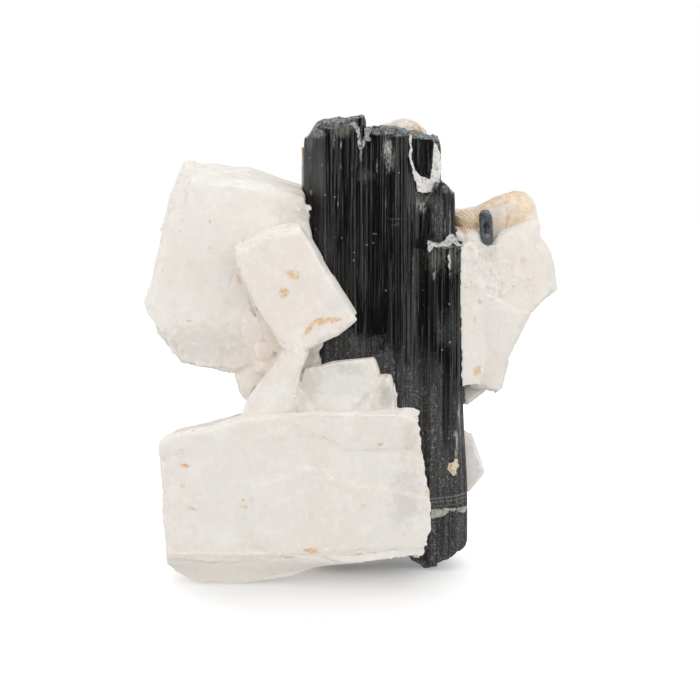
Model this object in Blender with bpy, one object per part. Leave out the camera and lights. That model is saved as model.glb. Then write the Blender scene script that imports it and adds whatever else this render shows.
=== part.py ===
"""Black tourmaline prism grown through a cluster of blocky white quartz, as a free-standing hand specimen.

The working frame is in millimetres: +X to the right, +Y away from the viewer with y = 0 on the prism's
front face, +Z up with z = 0 on the surface that the specimen stands on. build() puts the row's origin at
the bottom centre of the whole specimen. Outlines are (x, z) points in the front view, plans are (x, y).
"""

import math

import bmesh
import bpy
from mathutils import Matrix, Vector, geometry, noise

MM = 0.001

# Driving dimensions
PRISM_TOP = 80.6
PRISM_FRONT = 0.0
POCKET_GAP = 0.3
RIDGE_PITCH = 1.7
RIDGE_DEPTH = 0.32
BREAK_PITCH = 2.6
LAYER_RISER = 0.12
FLOOR_CUT = 30.0
LOWER_BLOCK_FRONT = -14.0
LOWER_BLOCK_LEAN = -0.13
LOWER_BLOCK_MIDDLE = 18.9

QUARTZ_WHITE = (0.80, 0.77, 0.73, 1.0)
TOURMALINE_BLACK = (0.012, 0.012, 0.013, 1.0)


def material(name, colour, roughness):
    made = bpy.data.materials.new(name)
    made.use_nodes = True
    shader = made.node_tree.nodes["Principled BSDF"]
    shader.inputs["Base Color"].default_value = colour
    shader.inputs["Roughness"].default_value = roughness
    shader.inputs["Metallic"].default_value = 0.0
    return made


def wobble(x, y, z, seed):
    """A smooth repeatable number from about -1 to 1 for a place in the specimen."""
    return noise.noise(Vector((x + 17.3 * seed, y - 9.1 * seed, z + 4.7 * seed)))


def mesh_object(name, bm):
    """Turns a bmesh in working millimetres into an object in metres."""
    bmesh.ops.recalc_face_normals(bm, faces=bm.faces)
    bmesh.ops.triangulate(bm, faces=[f for f in bm.faces if len(f.verts) > 4])
    bmesh.ops.scale(bm, vec=(MM, MM, MM), verts=bm.verts)
    mesh = bpy.data.meshes.new(name)
    bm.to_mesh(mesh)
    bm.free()
    made = bpy.data.objects.new(name, mesh)
    bpy.context.scene.collection.objects.link(made)
    return made


def loft(rings, capped=True):
    """A body through rings of points that all have the same count, with a flat end on each side."""
    bm = bmesh.new()
    loops = [[bm.verts.new(p) for p in ring] for ring in rings]
    count = len(loops[0])
    for lower, upper in zip(loops, loops[1:]):
        for i in range(count):
            j = (i + 1) % count
            bm.faces.new((lower[i], lower[j], upper[j], upper[i]))
    if capped:
        bm.faces.new(loops[0])
        bm.faces.new(loops[-1])
    return bm


def offset(outline, distance):
    """Moves each side of an outline inwards by a distance, or outwards where it is negative."""
    count = len(outline)
    area = sum(
        outline[i - 1][0] * outline[i][1] - outline[i][0] * outline[i - 1][1]
        for i in range(count)
    )
    turn = 1.0 if area > 0 else -1.0
    moved = []
    for i in range(count):
        before, here, after = (Vector(outline[(i + k) % count]) for k in (-1, 0, 1))
        d1 = (here - before).normalized()
        d2 = (after - here).normalized()
        n1 = Vector((-d1.y, d1.x)) * turn
        n2 = Vector((-d2.y, d2.x)) * turn
        bisector = (n1 + n2).normalized()
        reach = distance / max(0.5, bisector.dot(n1))
        moved.append(here + bisector * reach)
    return moved


def resampled(outline, counts):
    """Splits each side of an outline into its own count of equal parts."""
    points = []
    for i, count in enumerate(counts):
        start = Vector(outline[i])
        end = Vector(outline[(i + 1) % len(outline)])
        points += [start.lerp(end, k / count) for k in range(count)]
    return points


def side_counts(outline, spacing):
    lengths = [
        (Vector(outline[(i + 1) % len(outline)]) - Vector(outline[i])).length
        for i in range(len(outline))
    ]
    return [max(1, round(length / spacing)) for length in lengths]


# White crystals


def crystal(outline, front, depth, lean=(0, 0), drift=(0, 0), bevel=1.0, layers=3, ragged=0.35, spacing=4.0,
            shrink=1.0, step=0.3, turn=0.0, tilt=0.0, seed=1):
    """One blocky crystal, as growth layers stacked behind its outline in the front view.

    lean tilts the layers, as millimetres of depth for each millimetre of x and of z. drift slants the sides,
    as millimetres of x and of z for each millimetre of depth. shrink is the last layer's size beside the first,
    step is how far one layer can stand out beside the next, and ragged roughens the layers' edges.
    """
    counts = side_counts(outline, spacing)
    centre = sum((Vector(p) for p in outline), Vector((0, 0))) / len(outline)
    cuts = [bevel]
    cuts += [bevel + (depth - 2 * bevel) * (k + 0.6 * wobble(k, 0.4, 0.7, seed)) / layers for k in range(1, layers)]
    cuts.append(depth - bevel)
    levels = [(0.0, bevel, 0)]
    for k, (start, end) in enumerate(zip(cuts, cuts[1:])):
        levels += [(start + LAYER_RISER * (k > 0), 0.0, k), (end, 0.0, k)]
    levels.append((depth, bevel * 1.2, layers - 1))
    rings = []
    for deep, inset, layer in levels:
        size = 1.0 + (shrink - 1.0) * deep / depth
        slide_x = 2.0 * step * wobble(layer * 1.9, 0.3, 0.1, seed) * (layer > 0)
        slide_z = 2.0 * step * wobble(0.2, layer * 1.9, 0.6, seed) * (layer > 0)
        ring = []
        for x, z in resampled(offset(outline, inset), counts):
            away_x = (x - centre.x) * size
            away_z = (z - centre.y) * size
            y = front + deep + lean[0] * away_x + lean[1] * away_z
            away_x += slide_x + drift[0] * deep + ragged * wobble(x * 0.9, layer * 1.7, z * 0.9, seed)
            away_z += slide_z + drift[1] * deep + ragged * wobble(z * 0.9, layer * 2.3, x * 0.9, seed + 5)
            ring.append((centre.x + away_x, y, centre.y + away_z))
        rings.append(ring)
    bm = loft(rings)
    if turn or tilt:
        pivot = Vector((centre.x, front + depth / 2, centre.y))
        about_z = Matrix.Rotation(math.radians(turn), 3, "Z")
        about_x = Matrix.Rotation(math.radians(tilt), 3, "X")
        bmesh.ops.rotate(bm, cent=pivot, matrix=about_z @ about_x, verts=bm.verts)
    return bm


def slab(x, z, width, height, roll, cut=0.16):
    """The outline of a blocky crystal: a rectangle, rolled in degrees, with two of its corners cut off."""
    w, h = width / 2, height / 2
    points = [(-w, -h), (w - cut * width, -h), (w, cut * height - h), (w, h), (cut * width - w, h),
              (-w, h - 0.6 * cut * height)]
    c, s = math.cos(math.radians(roll)), math.sin(math.radians(roll))
    return [(x + c * px - s * pz, z + s * px + c * pz) for px, pz in points]


def upper_left_block():
    outline = [(-29.2, 71.2), (-18.0, 69.9), (-8.0, 67.0), (-5.6, 50.0), (-12.0, 36.9), (-20.5, 36.4), (-29.2, 38.0),
               (-33.4, 43.6), (-35.5, 48.6), (-33.3, 57.5), (-31.2, 66.0)]
    return crystal(outline, -4.0, 20.0, lean=(0.05, 0.04), drift=(0.0, 0.05), bevel=1.3, layers=4, ragged=0.6,
                   spacing=3.0, step=0.5, seed=2)


def middle_block():
    outline = [(-19.3, 58.6), (-14.9, 61.3), (-8.6, 62.6), (-7.0, 60.4), (1.2, 46.9), (-2.2, 44.3), (-8.0, 41.2),
               (-11.4, 41.7), (-14.4, 46.2), (-19.0, 55.4)]
    return crystal(outline, -11.5, 14.0, lean=(-0.10, -0.06), drift=(-0.05, 0.0), bevel=0.6, layers=3, ragged=0.25,
                   spacing=4.0, step=0.25, seed=3)


def lower_block_face(z):
    """How far forward the lower block's front face is at a height."""
    return LOWER_BLOCK_FRONT + LOWER_BLOCK_LEAN * (z - LOWER_BLOCK_MIDDLE)


def lower_block():
    outline = [(-32.7, 26.4), (-31.0, 27.9), (-23.4, 29.5), (-18.7, 30.8), (-8.5, 31.6), (7.7, 31.8), (12.2, 31.0),
               (11.9, 26.0), (12.8, 21.2), (13.6, 15.7), (13.6, 9.6), (12.7, 7.0), (1.5, 5.2), (-24.1, 4.4),
               (-31.9, 5.2)]
    return crystal(outline, LOWER_BLOCK_FRONT, 25.0, lean=(0.02, LOWER_BLOCK_LEAN), drift=(0.03, -0.13), bevel=0.7,
                   layers=4, ragged=0.45, spacing=3.4, shrink=0.97, step=0.5, seed=4)


def lower_block_foot():
    """The slanting underside of the lower block, down to the surface that it stands on."""
    lowest = [(-31.9, 3.2), (-30.2, 1.0), (-27.4, -0.3), (-24.0, -0.7), (-12.2, -0.6), (-7.0, 1.1), (2.4, 4.3)]
    slant, back, top = 0.54, 9.0, 8.0
    rings = []
    for x, low in lowest:
        face = lower_block_face(5.4) + 0.5
        low += 0.15 * wobble(x, 0.0, 0.0, 5)
        rings.append([
            (x, face + 0.4, top), (x, face, 5.4), (x, face + slant * (5.4 - low), low), (x, back - 1.5, low),
            (x, back, 5.4), (x, back - 1.0, top),
        ])
    return loft(rings)


def lower_block_ledges():
    """Thin plates left proud of the lower block's front face by cleavage."""
    right = [(-16.8, 18.6), (-10.4, 20.2), (-7.6, 21.9), (-4.2, 21.5), (-1.2, 19.2), (5.0, 18.3), (13.2, 16.6),
             (13.7, 10.2), (12.8, 7.4), (1.5, 6.8), (-12.0, 6.0), (-16.4, 7.8)]
    top = [(-9.4, 31.2), (7.5, 31.4), (11.6, 30.4), (11.3, 25.4), (-0.9, 25.0), (-3.7, 26.9), (-9.0, 28.0)]
    left = [(-29.8, 24.6), (-25.0, 25.4), (-24.2, 19.0), (-27.5, 11.0), (-30.0, 13.0)]
    made = []
    for outline, proud, seed in ((right, 0.9, 6), (top, 0.6, 7), (left, 0.45, 8)):
        front = lower_block_face(sum(z for _, z in outline) / len(outline)) - proud
        made.append(crystal(outline, front, 4.0, lean=(0.02, LOWER_BLOCK_LEAN), bevel=0.25, layers=1, ragged=0.3,
                            spacing=3.0, seed=seed))
    return made


def blade():
    outline = [(-11.4, 41.4), (-9.2, 42.4), (-7.0, 41.2), (-8.6, 37.7), (-9.2, 34.0), (-8.8, 32.6), (-11.0, 28.0),
               (-18.8, 27.5), (-17.3, 33.2)]
    return crystal(outline, -12.6, 8.0, lean=(0.25, 0.0), drift=(0.05, 0.0), bevel=0.5, layers=2, ragged=0.2,
                   spacing=4.0, seed=9)


def broken_plates():
    """Glassy broken plates that stand between the middle and lower blocks, against the prism."""
    tall = [(-9.5, 29.0), (-8.8, 37.2), (-5.4, 38.4), (4.0, 39.7), (4.9, 37.0), (4.2, 33.0), (3.6, 29.0)]
    side = [(2.8, 28.5), (2.2, 33.5), (4.2, 36.6), (6.3, 36.8), (7.6, 33.8), (8.0, 28.5)]
    chip = [(-9.6, 37.0), (-10.4, 42.0), (-5.4, 43.2), (-4.8, 41.0), (-5.7, 39.8), (-5.2, 38.0)]
    sliver = [(-15.4, 29.0), (-13.6, 34.6), (-9.4, 36.0), (-7.0, 33.0), (-5.0, 29.0)]
    return [
        crystal(tall, -8.0, 8.4, lean=(0.05, 0.16), bevel=0.4, layers=2, ragged=0.25, spacing=3.0, seed=10),
        crystal(side, -5.4, 6.0, lean=(-0.25, 0.1), bevel=0.4, layers=2, ragged=0.3, spacing=3.0, seed=11),
        crystal(chip, -3.4, 5.0, lean=(0.3, 0.1), bevel=0.3, layers=1, ragged=0.3, spacing=3.0, seed=12),
        crystal(sliver, -10.4, 10.0, lean=(-0.1, 0.2), bevel=0.4, layers=1, ragged=0.2, spacing=4.0, seed=13),
    ]


def left_knobs():
    """Small rounded crystals in the hollow below the upper block."""
    outer = [(-20.6, 45.0), (-20.4, 37.0), (-19.4, 32.6), (-18.0, 31.0), (-12.0, 30.0), (-8.0, 34.0), (-9.0, 45.0),
             (-14.0, 48.0)]
    knob = [(-17.0, 39.5), (-16.2, 41.6), (-14.4, 42.4), (-12.2, 41.2), (-11.6, 38.4), (-13.6, 36.0), (-16.2, 36.8)]
    return [
        crystal(outer, -3.4, 15.0, lean=(-0.1, 0.12), bevel=1.4, layers=2, ragged=0.3, spacing=4.0, seed=14),
        crystal(knob, -6.0, 6.0, lean=(0.0, 0.2), bevel=1.2, layers=1, ragged=0.15, spacing=3.0, seed=15),
    ]


def right_cluster():
    stained = [(18.6, 63.2), (21.8, 63.9), (25.4, 65.8), (28.8, 67.0), (30.6, 66.6), (32.4, 64.6), (33.0, 61.6),
               (26.6, 56.0), (18.6, 56.0)]
    shoulder = [(25.8, 59.4), (32.4, 62.6), (33.9, 61.6), (34.0, 57.9), (35.4, 56.8), (36.2, 54.6), (36.9, 49.6),
                (32.2, 45.2), (24.0, 46.0), (22.0, 54.0)]
    inner = [(17.0, 61.0), (21.8, 60.6), (26.0, 58.0), (29.0, 51.0), (27.0, 44.0), (17.0, 43.0)]
    lower = [(16.5, 49.0), (24.0, 50.0), (32.2, 46.0), (28.2, 36.6), (26.7, 31.6), (25.2, 31.4), (16.5, 33.2)]
    edge = [(27.0, 38.0), (28.6, 36.4), (27.4, 31.6), (26.0, 30.8), (25.2, 33.0)]
    under = [(15.0, 38.0), (25.6, 36.0), (24.6, 31.0), (21.4, 28.4), (15.0, 28.0)]
    ridge = [(18.6, 63.6), (20.6, 63.4), (22.4, 61.8), (22.8, 59.0), (21.6, 57.6), (18.6, 59.0)]
    return [
        crystal(stained, 10.0, 13.0, lean=(0.1, 0.1), drift=(0.1, 0.0), bevel=1.6, layers=3, ragged=0.3, spacing=3.6,
                seed=16),
        crystal(shoulder, 6.4, 16.0, lean=(0.15, 0.12), bevel=1.1, layers=3, ragged=0.45, spacing=3.6, shrink=0.92,
                step=0.6, seed=17),
        crystal(inner, 5.0, 16.0, lean=(0.1, 0.1), bevel=1.4, layers=2, ragged=0.4, spacing=4.6, seed=18),
        crystal(lower, 4.4, 15.0, lean=(0.12, -0.06), drift=(-0.03, 0.0), bevel=0.8, layers=3, ragged=0.3,
                spacing=4.0, step=0.5, seed=19),
        crystal(edge, 7.4, 9.0, lean=(0.3, 0.0), bevel=0.4, layers=2, ragged=0.2, spacing=3.4, seed=20),
        crystal(under, 9.4, 12.0, lean=(0.0, 0.2), bevel=1.0, layers=2, ragged=0.3, spacing=4.6, seed=21),
        crystal(ridge, 8.0, 8.0, lean=(-0.2, 0.0), bevel=0.9, layers=1, ragged=0.2, spacing=2.6, seed=22),
    ]


def back_crystals():
    """The cluster's far side, which the prism leans on. The photograph shows only the tips of three of these."""
    foot = [(-18.0, 27.0), (-8.0, 32.0), (6.0, 30.0), (11.0, 18.0), (8.0, 3.4), (-2.0, -1.2), (-18.0, -1.2),
            (-22.0, 10.0)]
    spine = [(-10.0, 62.0), (-1.0, 68.0), (8.0, 66.0), (13.0, 54.0), (11.0, 34.0), (-6.0, 28.0), (-12.0, 36.0)]
    tip = [(5.2, 74.0), (7.4, 78.2), (9.8, 79.2), (11.8, 78.4), (13.2, 76.2), (14.6, 70.0), (13.0, 57.0), (1.0, 58.0)]
    spur = [(15.0, 21.0), (21.0, 21.6), (22.8, 20.4), (24.8, 14.8), (21.8, 11.4), (14.0, 12.0)]
    sprig = [(-8.1, 73.6), (-7.7, 75.4), (-5.2, 74.4), (-1.0, 66.0), (-3.0, 56.0), (-10.6, 58.0), (-8.4, 66.0)]
    return [
        crystal(foot, 8.0, 21.0, lean=(0.06, 0.10), drift=(0.04, 0.05), bevel=1.0, layers=3, ragged=0.2, spacing=9.0,
                shrink=0.94, step=0.9, seed=23),
        crystal(spine, 15.0, 15.0, lean=(0.05, -0.08), drift=(-0.08, 0.0), bevel=0.9, layers=3, ragged=0.2,
                spacing=9.0, shrink=0.92, step=1.0, turn=-10.0, seed=24),
        crystal(tip, 15.5, 9.0, lean=(0.1, -0.10), drift=(-0.1, 0.0), bevel=0.7, layers=2, ragged=0.15, spacing=6.0,
                step=0.5, turn=6.0, seed=25),
        crystal(slab(18.5, 45.5, 19.0, 25.0, -14.0), 12.0, 17.0, bevel=0.8, layers=3, ragged=0.2, spacing=9.0,
                step=0.9, turn=17.0, tilt=-6.0, seed=26),
        crystal(slab(13.5, 18.5, 12.5, 20.0, 8.0), 14.0, 14.0, bevel=0.7, layers=2, ragged=0.2, spacing=8.0,
                step=0.7, turn=-14.0, tilt=8.0, seed=27),
        crystal(spur, 13.0, 9.0, lean=(0.2, 0.0), bevel=0.6, layers=2, ragged=0.2, spacing=4.0, seed=28),
        crystal(slab(-14.0, 50.5, 17.0, 25.0, 22.0), 9.0, 19.0, bevel=0.8, layers=3, ragged=0.2, spacing=9.0,
                step=0.9, turn=-18.0, tilt=5.0, seed=29),
        crystal(slab(-9.5, 32.0, 15.0, 12.0, -12.0), 21.0, 11.5, bevel=0.7, layers=2, ragged=0.15, spacing=8.0,
                step=0.7, turn=24.0, tilt=18.0, seed=31),
        crystal(slab(4.5, 40.0, 11.0, 16.0, 31.0), 22.0, 10.0, bevel=0.6, layers=2, ragged=0.15, spacing=8.0,
                step=0.6, turn=-28.0, tilt=-14.0, seed=32),
        crystal(slab(-24.5, 42.5, 9.0, 8.0, -24.0), 8.0, 12.5, bevel=0.6, layers=2, ragged=0.15, spacing=6.0,
                step=0.5, turn=-30.0, tilt=12.0, seed=33),
        crystal(sprig, 11.0, 9.0, lean=(-0.1, -0.10), bevel=0.5, layers=2, ragged=0.15, spacing=6.0, turn=-8.0,
                seed=30),
    ]


# Black prisms


def ridged(corners, seed):
    """A column's plan with a growth ridge every RIDGE_PITCH along each side."""
    counts = [2 * max(1, round(n / 2)) for n in side_counts(corners, RIDGE_PITCH / 2)]
    points = resampled(corners, counts)
    inner = resampled(offset(corners, RIDGE_DEPTH), counts)
    ring = []
    for i, (out, back) in enumerate(zip(points, inner)):
        share = 0.5 + 0.5 * wobble(i * 1.3, seed, 0.0, seed)
        ring.append(out.lerp(back, (0.35 + 0.65 * share) if i % 2 else 0.3 * share))
    return ring


def inside(point, outline):
    hit = False
    for (x1, y1), (x2, y2) in zip(outline, outline[1:] + outline[:1]):
        if (y1 > point[1]) != (y2 > point[1]) and point[0] < (x2 - x1) * (point[1] - y1) / (y2 - y1) + x1:
            hit = not hit
    return hit


def scattered(corners, seed):
    """Uneven points inside a column's plan, for the facets of a broken end."""
    room = [tuple(p) for p in offset(corners, 1.1)]
    xs, ys = [p[0] for p in room], [p[1] for p in room]
    points = []
    for i in range(int((max(xs) - min(xs)) / BREAK_PITCH) + 2):
        for j in range(int((max(ys) - min(ys)) / BREAK_PITCH) + 2):
            x = min(xs) + BREAK_PITCH * (i + 0.5 * (j % 2) + 0.7 * wobble(i * 1.7, j * 1.3, 0.2, seed))
            y = min(ys) + BREAK_PITCH * (j + 0.7 * wobble(j * 1.9, i * 1.1, 0.8, seed))
            if inside((x, y), room):
                points.append(Vector((x, y)))
    return points


def broken_end(bm, edge, plan, scatter, height):
    """Closes a column's end with uneven facets over its plan."""
    count = len(plan)
    found, _, faces, origins, _, _ = geometry.delaunay_2d_cdt(plan + scatter, [], [range(count)], 1, 1e-5)
    verts = []
    for place, origin in zip(found, origins):
        if origin and origin[0] < count:
            verts.append(edge[origin[0]])
        else:
            verts.append(bm.verts.new((place.x, place.y, height(place))))
    for face in faces:
        bm.faces.new([verts[i] for i in face])


def column(corners, tops, bottoms, rough=0.55, seed=1, plain=False, grow=0.0):
    """One upright growth column, with ridges along its sides and a broken end above and below.

    Each end is the lowest or the highest of its planes, which are (height, rise along x, rise along y). A plain
    column has smooth sides and clear ends, and is bigger all round by grow, as the pocket for the real one.
    """
    def ends(planes, pick, clear, shift):
        def height(p):
            level = pick(z0 + sx * p[0] + sy * p[1] for z0, sx, sy in planes)
            return level + clear if plain else level + rough * wobble(p[0] * 0.7, p[1] * 0.7, 0.3, seed + shift)
        return height

    plan = [Vector(p) for p in (offset(corners, -grow) if plain else ridged(corners, seed))]
    foot = ends(bottoms, max, -grow - rough, 3)
    head = ends(tops, min, grow + rough, 8)
    bm = loft([[(p.x, p.y, end(p)) for p in plan] for end in (foot, head)], capped=False)
    bm.verts.ensure_lookup_table()
    scatter = scattered(corners, seed)
    broken_end(bm, bm.verts[:len(plan)], plan, scatter, foot)
    broken_end(bm, bm.verts[len(plan):2 * len(plan)], plan, scatter, head)
    return bm


def slope_through(x, z, rise):
    """The plane that holds height z at x and rises by this much for each millimetre of x."""
    return (z - rise * x, rise, 0.0)


def prism_columns(plain=False, grow=0.0):
    """The columns of the big prism, in parallel growth and of different heights."""
    broken_foot = [slope_through(14.6, -1.0, -0.85), slope_through(15.4, -1.0, 0.80), (-2.4, 0.0, 0.30)]
    level = [(PRISM_FRONT + 3.0, 0.0, 0.0)]
    main = [(-4.4, 0.4), (9.4, 0.2), (12.6, 1.5), (15.6, 3.6), (15.8, 12.0), (11.0, 18.6), (3.0, 20.4), (-4.0, 18.8),
            (-8.0, 13.0), (-8.2, 4.6)]
    left = [(-4.6, 0.0), (2.2, 0.0), (2.8, 6.0), (1.0, 15.0), (-4.0, 16.6), (-8.1, 12.0), (-8.3, 4.4)]
    middle = [(3.6, 0.0), (8.8, -0.1), (10.6, 1.0), (11.0, 8.0), (8.0, 16.0), (3.6, 16.0)]
    right = [(10.0, 0.9), (13.8, 0.9), (15.8, 2.8), (16.0, 9.0), (12.0, 13.6), (10.0, 8.0)]
    step = [(12.4, 1.0), (16.6, 0.9), (18.3, 2.6), (18.5, 8.0), (16.0, 13.0), (12.4, 11.0)]
    side = [(13.9, 0.1), (18.8, 0.0), (20.7, 1.8), (21.0, 6.0), (19.8, 11.0), (15.0, 13.4), (13.6, 8.0)]
    back_slope = (PRISM_TOP + 0.8, 0.0, -0.20)
    return [
        column(main, [(76.6, 0.0, 0.0)], broken_foot, seed=41, plain=plain, grow=grow),
        column(left, [slope_through(1.3, PRISM_TOP, 0.16), slope_through(-5.7, 79.5, 1.6), back_slope], level, seed=42,
               plain=plain, grow=grow),
        column(middle, [slope_through(3.5, 78.9, -0.03), slope_through(8.6, 78.8, -0.65), (79.4, 0.0, -0.12)], level,
               seed=43, plain=plain, grow=grow),
        column(right, [slope_through(10.0, 77.6, -0.10), slope_through(14.2, 76.9, -0.9)], [(70.6, 0.0, -0.6)],
               seed=44, plain=plain, grow=grow),
        column(step, [slope_through(15.9, 69.6, 1.3), slope_through(15.9, 69.6, -1.2)], level, seed=45, plain=plain,
               grow=grow),
        column(side, [slope_through(14.0, 59.0, -0.22)], [slope_through(15.0, 1.0, 0.55), (0.0, 0.0, 0.3)], seed=46,
               plain=plain, grow=grow),
    ]


def small_prism(plain=False, grow=0.0):
    """The stubby second prism in the right-hand cluster."""
    corners = [(24.0, 7.6), (25.6, 7.4), (26.4, 8.8), (25.9, 11.4), (24.2, 11.6), (23.6, 9.4)]
    return column(corners, [slope_through(25.0, 63.4, 0.35)], [slope_through(25.0, 57.0, -0.2)], rough=0.2, seed=47,
                  plain=plain, grow=grow)


# Assembly


def helper(made):
    made.hide_render = True
    made.display_type = "WIRE"
    return made


def boolean(target, other, operation, solver="EXACT"):
    modifier = target.modifiers.new(f"{operation.lower()} {other.name}", "BOOLEAN")
    modifier.operation = operation
    modifier.solver = solver
    modifier.object = helper(other)


def floor_cutter(name):
    """Everything under the surface that the specimen stands on."""
    bm = bmesh.new()
    bmesh.ops.create_cube(bm, size=1.0)
    bmesh.ops.scale(bm, vec=(200.0, 200.0, FLOOR_CUT), verts=bm.verts)
    bmesh.ops.translate(bm, vec=(0.0, 0.0, -FLOOR_CUT / 2), verts=bm.verts)
    return mesh_object(name, bm)


def fused(name, bodies, finish, solver="EXACT"):
    """One solid from several that overlap."""
    target = mesh_object(name, bodies[0])
    target.data.materials.append(finish)
    for number, body in enumerate(bodies[1:], 1):
        boolean(target, mesh_object(f"{name}_part_{number}", body), "UNION", solver)
    return target


def build():
    """Makes the three nodes. The quartz uses MANIFOLD, as EXACT loses the whole cluster at its third socket."""
    for old in list(bpy.data.objects):
        bpy.data.objects.remove(old)
    white = material("quartz", QUARTZ_WHITE, 0.55)
    black = material("tourmaline", TOURMALINE_BLACK, 0.3)

    whites = [upper_left_block(), lower_block(), lower_block_foot(), middle_block(), blade()]
    whites += lower_block_ledges() + broken_plates() + left_knobs() + right_cluster() + back_crystals()
    quartz = fused("quartz_cluster", whites, white, "MANIFOLD")
    prism = fused("tourmaline_prism", prism_columns(), black)
    stub = fused("small_tourmaline", [small_prism()], black)

    sockets = prism_columns(plain=True, grow=POCKET_GAP) + [small_prism(plain=True, grow=POCKET_GAP)]
    for number, socket in enumerate(sockets, 1):
        boolean(quartz, mesh_object(f"socket_{number}", socket), "DIFFERENCE", "MANIFOLD")
    boolean(quartz, floor_cutter("floor_under_quartz"), "DIFFERENCE", "MANIFOLD")
    boolean(prism, floor_cutter("floor_under_prism"), "DIFFERENCE")
    place_origin([quartz, prism, stub])


def place_origin(nodes):
    """Hangs every object from an empty that puts the bottom centre of the specimen at the origin."""
    bpy.context.view_layer.update()
    graph = bpy.context.evaluated_depsgraph_get()
    corners = [v.co for node in nodes for v in node.evaluated_get(graph).data.vertices]
    low = [min(c[k] for c in corners) for k in range(3)]
    high = [max(c[k] for c in corners) for k in range(3)]
    origin = bpy.data.objects.new("specimen", None)
    bpy.context.scene.collection.objects.link(origin)
    for item in bpy.data.objects:
        if item is not origin:
            item.parent = origin
    origin.location = (-(low[0] + high[0]) / 2, -(low[1] + high[1]) / 2, -low[2])


build()
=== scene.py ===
import math

import bmesh
import bpy
import numpy as np
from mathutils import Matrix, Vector, bvhtree, kdtree

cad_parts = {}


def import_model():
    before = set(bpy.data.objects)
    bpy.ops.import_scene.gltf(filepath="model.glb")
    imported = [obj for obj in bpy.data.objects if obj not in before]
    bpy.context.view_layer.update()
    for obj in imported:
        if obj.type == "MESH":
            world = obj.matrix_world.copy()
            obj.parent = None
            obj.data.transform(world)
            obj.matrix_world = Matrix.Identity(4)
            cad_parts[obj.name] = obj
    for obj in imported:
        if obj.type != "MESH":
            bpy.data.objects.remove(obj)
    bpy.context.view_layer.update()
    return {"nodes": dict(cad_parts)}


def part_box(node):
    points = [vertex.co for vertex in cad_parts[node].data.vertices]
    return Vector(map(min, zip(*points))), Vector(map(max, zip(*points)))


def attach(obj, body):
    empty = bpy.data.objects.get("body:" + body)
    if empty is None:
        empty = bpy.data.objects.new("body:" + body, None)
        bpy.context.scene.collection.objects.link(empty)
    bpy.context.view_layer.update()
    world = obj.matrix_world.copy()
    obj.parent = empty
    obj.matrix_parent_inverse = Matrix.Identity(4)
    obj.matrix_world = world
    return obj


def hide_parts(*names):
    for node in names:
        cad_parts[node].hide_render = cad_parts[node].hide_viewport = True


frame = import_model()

# Working frame: millimetres, x right, y away from the viewer from the prism's front face, z up from the floor.
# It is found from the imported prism, whose height and lowest corner are known in that frame.
PRISM_HEIGHT = 80.9
PRISM_LEFT, PRISM_NEAR = 8.2, 0.1
prism_low, prism_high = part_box("tourmaline_prism")
MM = (prism_high.z - prism_low.z) / PRISM_HEIGHT
ZERO = Vector((prism_low.x + PRISM_LEFT * MM, prism_low.y + PRISM_NEAR * MM, prism_low.z))

# The photograph's camera. Its aim and distance are in the working frame.
PICTURE = 700
LENS, SENSOR = 120.0, 36.0
ELEVATION = math.radians(9.0)
AIM = Vector((0.0, 10.0, 38.4))
DISTANCE = 420.0

# How fine the meshes are, in millimetres and triangles. The big prism's voxels are longer than wide by its stretch.
QUARTZ_VOXEL = 0.24
PRISM_VOXEL = 0.15
PRISM_STRETCH = 8.0
SMALL_VOXEL = 0.09
CRUST_VOXEL = 0.11
QUARTZ_TRIANGLES = 196000
PRISM_TRIANGLES = 190000
# Points within this share of a voxel from a sharp edge move onto it
SNAP_SHARE = 0.72
# Edges that turn by more degrees than this are shaded sharp
QUARTZ_CREASE, PRISM_CREASE, CRUST_CREASE = 32.0, 34.0, 40.0

# How much of the CAD's height, depth or width each correction takes off or adds
PLATES_LOWERED = 0.72
STAINED_LOWERED = 0.1
UNDERSIDE_RISE, FAR_LEFT_RISE = 0.15, 0.2
RIGHT_SIDE_TRIM = 0.78

ROOM_LIGHT = 0.9
FLOOR_HALF = 0.6


def world(x, y, z):
    """A point of the working frame in the row frame."""
    return ZERO + Vector((x, y, z)) * MM


# The camera

LOOK_BACK = Vector((0.0, -math.cos(ELEVATION), math.sin(ELEVATION)))
EYE = world(*(AIM + LOOK_BACK * DISTANCE))


def make_camera():
    camera = bpy.data.objects.new("camera", bpy.data.cameras.new("camera"))
    camera.data.lens = LENS
    camera.data.sensor_width = SENSOR
    camera.data.clip_start = 0.01
    camera.location = EYE
    camera.rotation_mode = "QUATERNION"
    camera.rotation_quaternion = (-LOOK_BACK).to_track_quat("-Z", "Y")
    bpy.context.scene.collection.objects.link(camera)
    bpy.context.scene.camera = camera


def sight(px, py):
    """The direction in which the camera sees a place of the photograph."""
    across = (px - PICTURE / 2) / PICTURE * SENSOR / LENS
    above = (PICTURE / 2 - py) / PICTURE * SENSOR / LENS
    up = Vector((0.0, math.sin(ELEVATION), math.cos(ELEVATION)))
    return (Vector((across, 0.0, 0.0)) - LOOK_BACK + up * above).normalized()


def mesh_tree(node):
    mesh = frame["nodes"][node].data
    return bvhtree.BVHTree.FromPolygons([v.co for v in mesh.vertices], [p.vertices for p in mesh.polygons])


trees = {name: mesh_tree(name) for name in ("quartz_cluster", "tourmaline_prism", "small_tourmaline")}


def on_surface(px, py, node="quartz_cluster"):
    """Where the camera's line through a place of the photograph meets a CAD node."""
    found = trees[node].ray_cast(EYE, sight(px, py))
    return found[0] or trees[node].find_nearest(EYE + sight(px, py) * DISTANCE * MM)[0]


# Repeatable noise on arrays of points


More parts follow.
